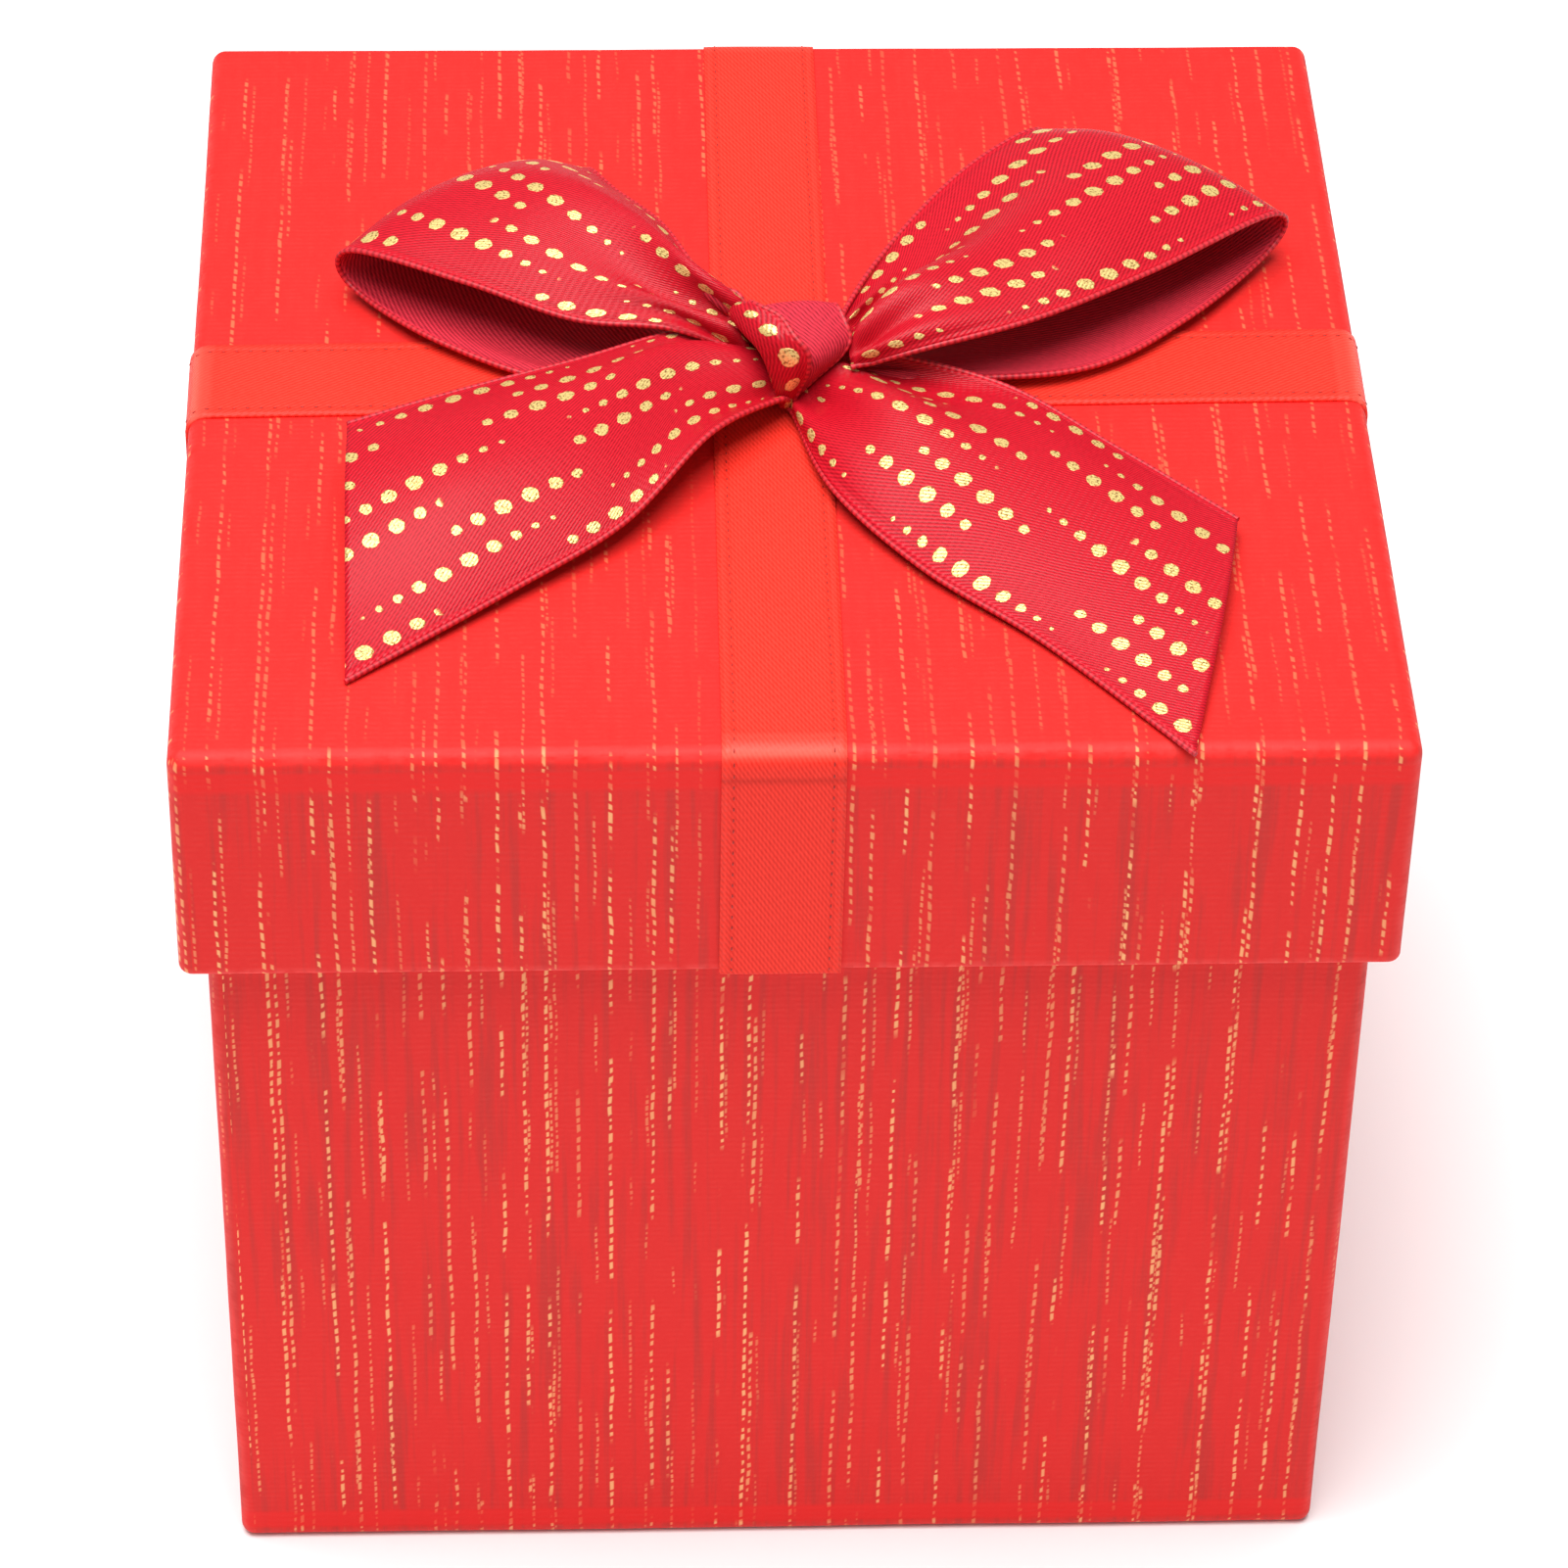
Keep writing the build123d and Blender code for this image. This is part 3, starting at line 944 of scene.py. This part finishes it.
def band_path(crossing):
    """The outer face of a band: up out of the skirt, over the lid, and down into it again."""
    low = LID_LOW.z - BAND_THICKNESS
    inner = LID_HALF - WALL_BUILD
    outer = LID_HALF + BAND_THICKNESS
    top = LID_TOP + BAND_THICKNESS
    end = LID_LOW.z + BAND_TURN_IN
    half = [(inner, end), (inner, low), (outer, low), (outer, top)]
    radii = [0.35 * MM, 0.4 * MM, 1.8 * MM]
    if crossing:
        half += [(7.8 * MM, top), (5.8 * MM, top + BAND_THICKNESS)]
        radii += [2.5 * MM, 2.5 * MM]
    corners = half + [(-out, z) for out, z in reversed(half)]
    return rounded_path(corners, radii + radii[::-1], 0.5 * MM)


def make_band(name, crossing, centre, material, thread, pitch):
    grid = band_grid(band_path(crossing), centre, not crossing)
    along = np.repeat(travelled(grid).mean(axis=1)[:, None], BAND_COLUMNS, axis=1)
    across = np.repeat(np.linspace(0, BAND_WIDTH, BAND_COLUMNS)[None], len(grid), axis=0)
    band = ribbon_sheet(name, grid, across, along, [material], BAND_THICKNESS)
    bend = band.data.attributes.new("bend", "FLOAT", "POINT")
    for vertex in band.data.vertices:
        if max(abs(vertex.co.x), abs(vertex.co.y)) > LID_HALF - 2.0 * MM:
            # bend is a painted highlight along the band's turn over the lid's top edge, and goes negative for
            # painted shade in a faint crease 2.6 mm below it
            shine = math.exp(-(((vertex.co.z - LID_TOP + 0.1 * MM) / (0.35 * MM)) ** 2))
            crease_shade = math.exp(-(((vertex.co.z - LID_TOP + 2.6 * MM) / (0.3 * MM)) ** 2))
            bend.data[vertex.index].value = shine - crease_shade
    lines = edge_lines(grid, 1.0 * MM, 0.01 * MM, BAND_WIDTH)
    stitches = along_lines(
        name + "_stitches",
        lines,
        "Edge Stitches",
        thread,
        pitch=pitch,
        length=0.42 * MM,
        thickness=0.13 * MM,
    )
    return band, stitches, float(along[-1, 0])


# ---------------------------------------------------------------- the bow
# Control points of the bow ribbon, in millimetres from the middle of the lid's top. Each row
# goes across the ribbon from its back selvedge to its front one, and the rows follow it along.
LEFT_LOOP = [
    [(-2.5, 0.5, 6.5), (-2.5, -0.6, 6.2), (-2.5, -1.8, 5.6), (-2.5, -3.0, 5.0), (-2.5, -4.0, 4.5)],
    [(-6.2, 2.6, 7.5), (-7.0, 1.6, 9.5), (-8.3, 0.3, 7.0), (-8.6, -0.6, 7.3), (-8.8, -1.8, 6.0)],
    [(-9.5, 10.5, 8.0), (-12.0, 8.5, 10.5), (-14.5, 5.0, 8.8), (-16.0, 2.2, 8.2), (-17.3, -0.6, 6.4)],
    [(-13.5, 17.0, 7.2), (-17.5, 15.5, 10.0), (-21.0, 12.0, 10.0), (-24.0, 8.0, 9.0), (-26.5, 4.0, 7.0)],
    [(-16.0, 21.6, 6.3), (-21.0, 21.0, 7.6), (-26.2, 18.5, 8.2), (-31.5, 15.0, 7.6), (-36.5, 10.2, 6.0)],
    [(-16.5, 22.8, 4.0), (-21.8, 22.6, 4.6), (-27.3, 20.2, 4.8), (-32.8, 16.6, 4.4), (-37.8, 11.4, 3.8)],
    [(-16.5, 21.5, 1.6), (-21.5, 21.3, 1.5), (-27.0, 18.8, 1.4), (-32.0, 15.0, 1.4), (-36.8, 11.0, 1.6)],
    [(-12.5, 14.0, 1.2), (-16.0, 12.0, 1.0), (-20.0, 8.5, 1.0), (-24.5, 4.5, 1.1), (-29.0, 2.8, 1.5)],
    [(-6.0, 5.0, 1.6), (-8.5, 3.4, 1.3), (-11.5, 1.0, 1.2), (-14.5, -1.5, 1.3), (-17.5, -3.2, 1.6)],
    [(-3.0, -1.0, 2.5), (-3.0, -1.7, 2.5), (-3.0, -2.5, 2.5), (-3.0, -3.3, 2.5), (-3.0, -4.0, 2.5)],
]
RIGHT_LOOP = [
    [(5.5, -0.5, 6.5), (5.6, -1.6, 6.2), (5.7, -2.8, 5.6), (5.9, -4.0, 5.0), (6.0, -5.0, 4.5)],
    [(8.6, 7.0, 6.6), (9.6, 3.6, 5.8), (10.2, 1.2, 8.6), (11.0, -1.8, 8.2), (11.8, -5.0, 6.4)],
    [(14.0, 16.5, 6.8), (16.5, 12.0, 6.8), (18.4, 7.5, 8.8), (20.4, 3.0, 8.6), (22.0, -1.2, 6.8)],
    [(19.5, 23.5, 6.8), (23.2, 19.8, 8.0), (27.0, 15.0, 9.2), (29.6, 9.6, 8.8), (32.2, 5.6, 6.6)],
    [(24.0, 27.4, 6.2), (29.5, 25.0, 7.6), (34.5, 22.0, 7.8), (39.0, 18.8, 7.2), (43.6, 14.8, 6.0)],
    [(25.0, 28.4, 4.0), (30.6, 26.4, 4.4), (35.8, 23.6, 4.6), (40.6, 20.0, 4.4), (45.0, 16.2, 4.0)],
    [(24.0, 27.0, 1.6), (29.4, 24.8, 1.4), (34.6, 22.0, 1.3), (39.4, 18.6, 1.4), (43.8, 15.4, 1.8)],
    [(19.0, 20.5, 1.2), (23.5, 16.5, 1.0), (28.0, 12.0, 1.0), (32.0, 7.6, 1.1), (35.6, 5.6, 1.4)],
    [(12.0, 11.0, 1.4), (15.0, 7.6, 1.2), (18.4, 4.0, 1.2), (22.0, 0.4, 1.2), (25.4, -1.8, 1.4)],
    [(6.0, -1.0, 2.5), (6.0, -1.7, 2.5), (6.0, -2.5, 2.5), (6.0, -3.3, 2.5), (6.0, -4.0, 2.5)],
]
LEFT_TAIL = [
    [(-1.5, -1.0, 4.6), (-0.9, -2.6, 4.4), (-0.3, -4.2, 3.8), (0.3, -5.5, 3.1), (0.9, -6.6, 2.3)],
    [(-8.5, -1.2, 5.0), (-8.3, -3.8, 6.4), (-7.6, -7.2, 5.0), (-6.9, -10.5, 4.6), (-5.8, -14.0, 4.6)],
    [(-17.8, -5.0, 5.2), (-17.2, -9.8, 6.6), (-16.2, -14.6, 6.2), (-14.8, -19.6, 4.6), (-13.4, -23.5, 2.6)],
    [(-27.0, -8.8, 5.2), (-27.0, -15.0, 6.6), (-26.0, -21.0, 6.2), (-24.6, -26.5, 4.0), (-22.6, -30.8, 1.5)],
    [(-36.3, -13.2, 5.2), (-36.3, -20.5, 5.6), (-36.2, -27.5, 4.4), (-36.1, -34.3, 2.3), (-36.0, -41.2, 0.6)],
]
RIGHT_TAIL = [
    [(5.0, -2.2, 4.4), (4.0, -3.4, 3.8), (2.9, -4.6, 3.0), (1.7, -5.6, 2.2), (0.6, -6.4, 1.4)],
    [(11.5, -2.6, 3.4), (10.8, -6.0, 2.2), (9.0, -9.0, 4.8), (6.8, -13.0, 4.4), (3.6, -17.5, 1.8)],
    [(19.5, -6.0, 3.0), (18.6, -10.5, 3.4), (16.8, -15.5, 4.2), (13.8, -21.0, 3.6), (10.6, -27.5, 1.2)],
    [(28.0, -13.6, 2.4), (27.2, -19.5, 3.4), (25.4, -26.0, 3.4), (23.0, -32.5, 2.4), (20.3, -37.0, 0.8)],
    [(37.4, -22.8, 2.0), (36.2, -30.0, 2.4), (34.8, -37.0, 2.2), (33.2, -44.0, 1.4), (31.6, -51.0, 0.6)],
]
FOLD_ROW = 5
ROW_STEP = 0.6 * MM
BOW_COLUMNS = 49


def through(points, places):
    """A smooth curve along axis 0 through points, read at places counted in rows."""
    steps = np.linalg.norm(np.diff(points, axis=0), axis=-1)
    steps = np.sqrt(steps.reshape(len(steps), -1).mean(axis=1))
    knots = np.concatenate([[0.0], np.cumsum(steps)])
    slopes = np.diff(points, axis=0) / steps.reshape(-1, *[1] * (points.ndim - 1))
    tangents = np.empty_like(points)
    tangents[0], tangents[-1] = slopes[0], slopes[-1]
    for k in range(1, len(points) - 1):
        share = steps[k] / (steps[k - 1] + steps[k])
        tangents[k] = slopes[k - 1] * share + slopes[k] * (1 - share)
    made = []
    for place in places:
        k = min(int(place), len(points) - 2)
        t = place - k
        h = knots[k + 1] - knots[k]
        made.append(
            points[k] * (2 * t**3 - 3 * t**2 + 1)
            + tangents[k] * h * (t**3 - 2 * t**2 + t)
            + points[k + 1] * (3 * t**2 - 2 * t**3)
            + tangents[k + 1] * h * (t**3 - t**2)
        )
    return np.array(made)


def evenly(grid, count):
    """The same sheet with rows at equal mean distances."""
    length = travelled(grid).mean(axis=1)
    wanted = np.linspace(0, length[-1], count)
    flat = grid.reshape(len(grid), -1)
    even = np.stack([np.interp(wanted, length, column) for column in flat.T], axis=1)
    return even.reshape(count, *grid.shape[1:])


def ribbon_grid(rows):
    """A dense grid of a ribbon, in metres, with its flat distances across and along."""
    net = np.array(rows) * MM + np.array([0.0, 0.0, LID_TOP])
    fine = through(net, np.linspace(0, len(net) - 1, 12 * len(net)))
    grid = through(fine.transpose(1, 0, 2), np.linspace(0, net.shape[1] - 1, BOW_COLUMNS))
    grid = grid.transpose(1, 0, 2)
    length = travelled(grid).mean(axis=1)[-1]
    return evenly(grid, int(round(length / ROW_STEP)) + 1)


def flat_map(grid, zero_row):
    """Flat distances of a curved ribbon: straight across, and along from zero_row."""
    length = travelled(grid)
    length = length - length[zero_row]
    share = np.linspace(0.0, 1.0, grid.shape[1])
    lean = ((length - length.mean(axis=1, keepdims=True)) * (share - 0.5)).sum(axis=1)
    lean = lean / ((share - 0.5) ** 2).sum()
    along = length.mean(axis=1, keepdims=True) + lean[:, None] * (share - 0.5)
    across = np.repeat((share * BOW_WIDTH)[None], len(grid), axis=0)
    return across, along


def gather(grid, pleats, depth, reach, start, phase):
    """Radiating pleats where the ribbon is drawn into the knot, fading with distance."""
    distance = travelled(grid)
    distance = distance if start else distance[-1] - distance
    fade = np.exp(-((distance / reach) ** 1.6)) * np.minimum(1.0, distance / (1.5 * MM))
    share = np.linspace(0.0, 1.0, grid.shape[1])
    wave = np.sin(2 * math.pi * (pleats * share + phase) + 1.3 * np.sin(2.1 * math.pi * share))
    return grid + grid_normals(grid) * (fade * wave * depth)[..., None]


def rest_on_lid(grid, clear):
    """Lifts whatever would sink into the lid or the bands."""
    x, y = grid[..., 0], grid[..., 1]
    over_band = np.minimum(np.abs(x), np.abs(y)) < BAND_WIDTH / 2 + 1.0 * MM
    floor = LID_TOP + clear + np.where(over_band, BAND_THICKNESS, 0.0)
    grid[..., 2] = np.maximum(grid[..., 2], floor)
    return grid


def selvedge_cords(name, grid, thread, hidden=0):
    """The cords along a bow ribbon's two selvedges, left out on its first hidden rows."""
    lines = edge_lines(grid, 0.02 * MM, -BOW_THICKNESS / 2, BOW_WIDTH)
    shown = [line[hidden:] for line in lines]
    return along_lines(name, shown, "Corded Edge", thread, radius=CORD_RADIUS, turn=CORD_TURN)


def make_bow_piece(name, rows, zero_row, pleats, materials, thread, slot_node):
    """One loop or tail of the bow, with the cords along its selvedges."""
    grid = ribbon_grid(rows)
    for start, count, depth, reach, phase in pleats:
        grid = gather(grid, count, depth * MM, reach * MM, start, phase)
    grid = rest_on_lid(grid, 0.55 * MM)
    if zero_row:
        side = 1 if rows[zero_row][2][0] < 0 else -1
        zero = int(np.argmin(grid[:, BOW_COLUMNS // 2, 0] * side))
    else:
        zero = 0
    across, along = flat_map(grid, zero)
    piece = ribbon_sheet(name, grid, across, along, materials, BOW_THICKNESS)
    cords = selvedge_cords(name + "_selvedges", grid, thread)
    belongs(piece, "bow_satin", slot_node)
    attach(cords, frame["nodes"][slot_node]["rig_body"])
    return piece


# The knot's wrap, from behind it, over its top and down its front. Each row goes from its
# right selvedge along the matte back of the ribbon to a fold, and returns as a satin strip.
KNOT = [
    [
        (3.6, 2.4, 0.9), (2.2, 2.6, 0.9), (0.0, 2.6, 0.9),
        (-2.2, 2.2, 0.9), (-1.8, 2.7, 1.2), (-1.2, 3.0, 1.4),
    ],
    [
        (4.0, 1.0, 4.6), (2.4, 1.4, 4.6), (0.0, 1.2, 4.6),
        (-2.6, 0.6, 4.6), (-2.2, 1.2, 5.0), (-1.4, 1.6, 5.2),
    ],
    [
        (4.8, -0.3, 7.7), (2.6, -0.6, 8.2), (-0.6, -1.0, 8.2),
        (-4.0, -1.8, 7.6), (-3.6, -2.0, 8.7), (-2.4, -2.3, 9.1),
    ],
    [
        (5.6, -2.4, 7.2), (3.4, -3.0, 7.8), (0.4, -3.6, 8.0),
        (-2.9, -4.0, 7.4), (-2.0, -4.4, 8.8), (-0.1, -4.4, 9.3),
    ],
    [
        (6.0, -3.4, 6.0), (4.4, -4.6, 6.8), (2.0, -5.6, 7.2),
        (-1.7, -5.6, 6.9), (-0.6, -6.2, 8.3), (1.1, -6.4, 8.7),
    ],
    [
        (5.2, -4.2, 5.0), (4.2, -5.4, 5.6), (2.6, -6.4, 6.2),
        (-1.0, -6.3, 5.6), (0.6, -7.1, 7.0), (2.2, -7.1, 7.7),
    ],
    [
        (4.0, -4.7, 4.0), (3.4, -5.6, 4.4), (2.4, -6.4, 4.6),
        (-0.5, -6.6, 4.0), (0.8, -7.3, 5.2), (2.2, -7.1, 5.8),
    ],
    [
        (2.4, -5.4, 2.8), (2.0, -5.9, 3.0), (1.3, -6.3, 3.0),
        (-0.1, -6.5, 2.6), (0.7, -7.0, 3.5), (1.6, -6.5, 3.8),
    ],
    [
        (0.9, -5.9, 1.3), (0.7, -6.1, 1.3), (0.5, -6.2, 1.3),
        (0.2, -6.2, 1.2), (0.5, -6.5, 1.5), (0.9, -6.3, 1.6),
    ],
]


# ---------------------------------------------------------------- operators
class GIFTBOX_OT_wrap_base(bpy.types.Operator):
    """Covers the base tray in wrapping paper"""

    bl_idname = "giftbox.wrap_base"
    bl_label = "Wrap Base"

    def execute(self, context):
        inner = WALL_BUILD
        rim, low = BASE_HIGH.z, BASE_LOW.z
        hidden = [(inner, rim - BASE_TURN_IN), (inner, rim)]
        corners = hidden + [(0.0, rim), (0.0, low), (PANEL_INSET, low)]
        profile = rounded_path(corners, [0.3 * MM, RIM_RADIUS, BASE_EDGE_RADIUS], 1.6 * MM)
        paper = wrapping_paper(context)
        wrap = wrapped_shell("base_paper", BASE_HALF, profile, paper, True)
        finish_shell(wrap, BASE_HALF, [rim, low])
        belongs(wrap, "wrap_paper", "base_wrap")
        return {"FINISHED"}


class GIFTBOX_OT_wrap_lid(bpy.types.Operator):
    """Covers the lid in wrapping paper, with pockets for the ends of the bands"""

    bl_idname = "giftbox.wrap_lid"
    bl_label = "Wrap Lid"

    def execute(self, context):
        inner = WALL_BUILD
        low, top = LID_LOW.z, LID_HIGH.z
        hidden = [(inner, low + LID_TURN_IN), (inner, low)]
        corners = hidden + [(0.0, low), (0.0, top), (PANEL_INSET, top)]
        profile = rounded_path(corners, [0.3 * MM, RIM_RADIUS, LID_EDGE_RADIUS], 1.4 * MM)
        paper = wrapping_paper(context)
        wrap = wrapped_shell("lid_paper", LID_HALF, profile, paper, False)
        finish_shell(wrap, LID_HALF, [low, top], low + BAND_TURN_IN)
        belongs(wrap, "wrap_paper", "lid_wrap")
        return {"FINISHED"}


class GIFTBOX_OT_tie_bands(bpy.types.Operator):
    """Lays the two flat satin bands over the lid"""

    bl_idname = "giftbox.tie_bands"
    bl_label = "Tie Bands"

    def execute(self, context):
        settings = context.scene.gift_box_ribbon
        satin = ribbon_material("plain_satin", settings.band, BAND_WIDTH, True, 0.12, pitch=0.7)
        # the stitch thread is darkened: real stitches, coloured dark as painted shade for the holes they sit
        # in
        thread = thread_material("band_thread", [c * 0.55 for c in settings.band])
        pitch = settings.stitch_pitch
        # each band lies a little off the lid's middle and turned a little on it
        runs = (
            ("band_left_right", False, lambda x: (-0.2 + 0.014 * x / MM) * MM),
            ("band_front_back", True, lambda y: (-0.6 + 0.008 * y / MM) * MM),
        )
        for name, crossing, centre in runs:
            band, stitches, length = make_band(name, crossing, centre, satin, thread, pitch)
            belongs(band, "band_satin", "ribbon_" + name)
            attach(stitches, "lid")
        return {"FINISHED"}


class GIFTBOX_OT_make_loops(bpy.types.Operator):
    """Folds the two loops of the bow"""

    bl_idname = "giftbox.make_loops"
    bl_label = "Make Loops"

    def execute(self, context):
        satin, back, thread = bow_materials(context)
        left = [(True, 3, 1.1, 7.5, 0.1), (False, 4, 1.3, 11.0, 0.3)]
        right = [(True, 3, 0.8, 9.0, 0.6), (False, 3, 0.5, 8.0, 0.0)]
        loops = (
            ("loop_left", [row[::-1] for row in LEFT_LOOP], left),
            ("loop_right", RIGHT_LOOP, right),
        )
        for name, rows, pleats in loops:
            make_bow_piece(
                name, rows, FOLD_ROW, pleats, [satin, back], thread, "bow_" + name
            )
        return {"FINISHED"}


class GIFTBOX_OT_make_tails(bpy.types.Operator):
    """Lays the two cut tails of the bow"""

    bl_idname = "giftbox.make_tails"
    bl_label = "Make Tails"

    def execute(self, context):
        satin, back, thread = bow_materials(context)
        left = [(True, 2, 0.9, 9.0, 0.2)]
        right = [(True, 2, 0.9, 10.0, 0.5)]
        tails = (
            ("tail_left", [row[::-1] for row in LEFT_TAIL], left, ["loop_left", "lid_paper"]),
            ("tail_right", RIGHT_TAIL, right, ["lid_paper", "band_front_back"]),
        )
        for name, rows, pleats, rests in tails:
            make_bow_piece(
                name, rows, 0, pleats, [satin, back], thread, "bow_" + name
            )
        return {"FINISHED"}


class GIFTBOX_OT_tie_knot(bpy.types.Operator):
    """Wraps the knot over the middle of the bow"""

    bl_idname = "giftbox.tie_knot"
    bl_label = "Tie Knot"

    def execute(self, context):
        satin, back, thread = bow_materials(context)
        grid = ribbon_grid(KNOT)
        along = np.repeat(travelled(grid).mean(axis=1)[:, None], BOW_COLUMNS, axis=1)
        reach = travelled(grid.transpose(1, 0, 2)).mean(axis=1)
        # the fold pulls the printed rows of the strip closer to its selvedge
        across = np.repeat((BOW_WIDTH - 1.4 * (reach[-1] - reach))[None], len(grid), axis=0)
        along = along + 11.0 * MM
        knot = ribbon_sheet("knot", grid, across, along, [back, satin], BOW_THICKNESS)
        cords = selvedge_cords("knot_selvedge", grid, thread, len(grid) // 3)
        belongs(knot, "bow_satin", "bow_knot")
        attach(cords, "lid")
        # only the outer layers are modelled, so the flat size is theirs and not the whole ribbon's
        spans = travelled(grid.transpose(1, 0, 2))[-1]
        return {"FINISHED"}


class GIFTBOX_OT_finish_boards(bpy.types.Operator):
    """Gives the boards, tapes, linings and glue their finishes"""

    bl_idname = "giftbox.finish_boards"
    bl_label = "Finish Boards"

    def execute(self, context):
        finishes = {
            "greyboard": ((0.34, 0.32, 0.29), (0.55, 0.52, 0.47), 900.0, 0.06 * MM, 0.85),
            "stay_tape": ((0.52, 0.33, 0.17), (0.66, 0.46, 0.27), 700.0, 0.03 * MM, 0.6),
            "liner_paper": ((0.86, 0.85, 0.82), (0.93, 0.92, 0.90), 500.0, 0.03 * MM, 0.7),
            "glue": ((0.80, 0.76, 0.66), (0.90, 0.87, 0.78), 1500.0, 0.03 * MM, 0.3),
        }
        made = {name: pulp_material(name, *values) for name, values in finishes.items()}
        nodes = {
            "base_board": "greyboard",
            "lid_board": "greyboard",
            "base_corner_stays": "stay_tape",
            "lid_corner_stays": "stay_tape",
            "base_liner": "liner_paper",
            "lid_liner": "liner_paper",
            "bow_glue_dot": "glue",
        }
        for node, finish in nodes.items():
            mesh = frame["nodes"][node].data
            mesh.materials.clear()
            mesh.materials.append(made[finish])
        return {"FINISHED"}


class GIFTBOX_OT_set_stage(bpy.types.Operator):
    """Sets the floor, the lights and the camera"""

    bl_idname = "giftbox.set_stage"
    bl_label = "Set Stage"

    def execute(self, context):
        settings = context.scene.gift_box_stage
        scene = context.scene
        floor_material, g, shader = new_material("floor_white")
        place = g.add("ShaderNodeTexCoord").outputs["Object"]
        mottle = g.noise(place, scale=40.0, detail=2.0)
        g.feed(shader.inputs["Base Color"], g.mix(mottle, (0.93, 0.93, 0.93), (0.95, 0.95, 0.95)))
        shader.inputs["Roughness"].default_value = 0.9
        shader.inputs["Specular IOR Level"].default_value = 0.1
        reach = 3.0
        mesh = bpy.data.meshes.new("floor")
        corners = [(-reach, -reach, 0), (reach, -reach, 0), (reach, reach, 0), (-reach, reach, 0)]
        mesh.from_pydata(corners, [], [(0, 1, 2, 3)])
        mesh.materials.append(floor_material)
        floor = bpy.data.objects.new("floor", mesh)
        scene.collection.objects.link(floor)

        world = bpy.data.worlds.new("studio")
        world.use_nodes = True
        background = next(n for n in world.node_tree.nodes if n.type == "BACKGROUND")
        background.inputs[0].default_value = (1.0, 1.0, 1.0, 1.0)
        background.inputs[1].default_value = settings.world_level
        scene.world = world
        scene.view_settings.view_transform = "Standard"

        lights = (
            ("key", settings.key_power, 0.9, (-0.1, -0.1, 1.1)),
            ("fill", settings.fill_power, 1.2, (0.35, -1.3, 0.7)),
        )
        for name, power, size, place in lights:
            data = bpy.data.lights.new(name, "AREA")
            data.energy = power
            data.size = size
            light = bpy.data.objects.new(name, data)
            light.location = place
            toward = Vector((0.0, 0.0, 0.06)) - light.location
            light.rotation_euler = toward.to_track_quat("-Z", "Y").to_euler()
            scene.collection.objects.link(light)

        data = bpy.data.cameras.new("camera")
        data.sensor_width = 36.0
        data.lens = 141.634
        data.clip_start = 0.01
        camera = bpy.data.objects.new("camera", data)
        camera.location = (-0.018325, -0.421594, 0.412011)
        camera.rotation_euler = [math.radians(a) for a in (49.1466, -0.9483, -1.8486)]
        scene.collection.objects.link(camera)
        scene.camera = camera
        return {"FINISHED"}


def wrapping_paper(context):
    """The paper, made once and shared by the base and the lid."""
    made = bpy.data.materials.get("wrapping_paper")
    return made or paper_material(context.scene.gift_box_paper)


def thread_material(name, colour):
    """Twisted sewing thread, shaded by its own fine turns."""
    material, g, shader = new_material(name)
    place = g.add("ShaderNodeTexCoord").outputs["Object"]
    grain = g.noise(place, scale=3800.0, detail=2.0)
    light = [min(1.0, c * 1.5 + 0.02) for c in colour]
    turns = g.add("ShaderNodeAttribute", attribute_name="twist").outputs["Fac"]
    tone = g.mix(turns, [c * 0.5 for c in colour], light)
    g.feed(shader.inputs["Base Color"], g.mix(g.math("MULTIPLY", grain, 0.4), tone, colour))
    g.feed(shader.inputs["Roughness"], g.math("MULTIPLY_ADD", grain, 0.15, 0.42))
    bump(g, shader, grain, 0.03 * MM, 0.6)
    return material


def bow_materials(context):
    """Dotted satin, its plain twill back and the selvedge thread, made once."""
    settings = context.scene.gift_box_ribbon
    names = ("dotted_satin", "twill_back", "selvedge_thread")
    if names[0] not in bpy.data.materials:
        ribbon_material(names[0], settings.bow, BOW_WIDTH, True, 0.2, dots=settings)
        matte = [settings.bow[0] * 1.15, 0.022, 0.045]
        ribbon_material(names[1], matte, BOW_WIDTH, False, 0.12, pitch=1.05)
        thread_material(names[2], settings.bow)
    return [bpy.data.materials[name] for name in names]


STEPS = (
    GIFTBOX_OT_wrap_base,
    GIFTBOX_OT_wrap_lid,
    GIFTBOX_OT_tie_bands,
    GIFTBOX_OT_make_loops,
    GIFTBOX_OT_make_tails,
    GIFTBOX_OT_tie_knot,
    GIFTBOX_OT_finish_boards,
    GIFTBOX_OT_set_stage,
)


class GIFTBOX_PT_panel(bpy.types.Panel):
    """Lists the steps that build the gift box"""

    bl_idname = "GIFTBOX_PT_panel"
    bl_label = "Gift Box"
    bl_space_type = "VIEW_3D"
    bl_region_type = "UI"
    bl_category = "Gift Box"

    def draw(self, context):
        for step in STEPS:
            self.layout.operator(step.bl_idname)


SETTINGS = {
    "gift_box_paper": GiftBoxPaperSettings,
    "gift_box_ribbon": GiftBoxRibbonSettings,
    "gift_box_stage": GiftBoxStageSettings,
}


def register():
    for kind in (*SETTINGS.values(), *STEPS, GIFTBOX_PT_panel):
        bpy.utils.register_class(kind)
    for name, kind in SETTINGS.items():
        setattr(bpy.types.Scene, name, PointerProperty(type=kind))


def unregister():
    for name in SETTINGS:
        delattr(bpy.types.Scene, name)
    for kind in reversed((*SETTINGS.values(), *STEPS, GIFTBOX_PT_panel)):
        bpy.utils.unregister_class(kind)


def main():
    register()
    for step in STEPS:
        group, name = step.bl_idname.split(".")
        getattr(getattr(bpy.ops, group), name)()


if __name__ == "__main__":
    main()
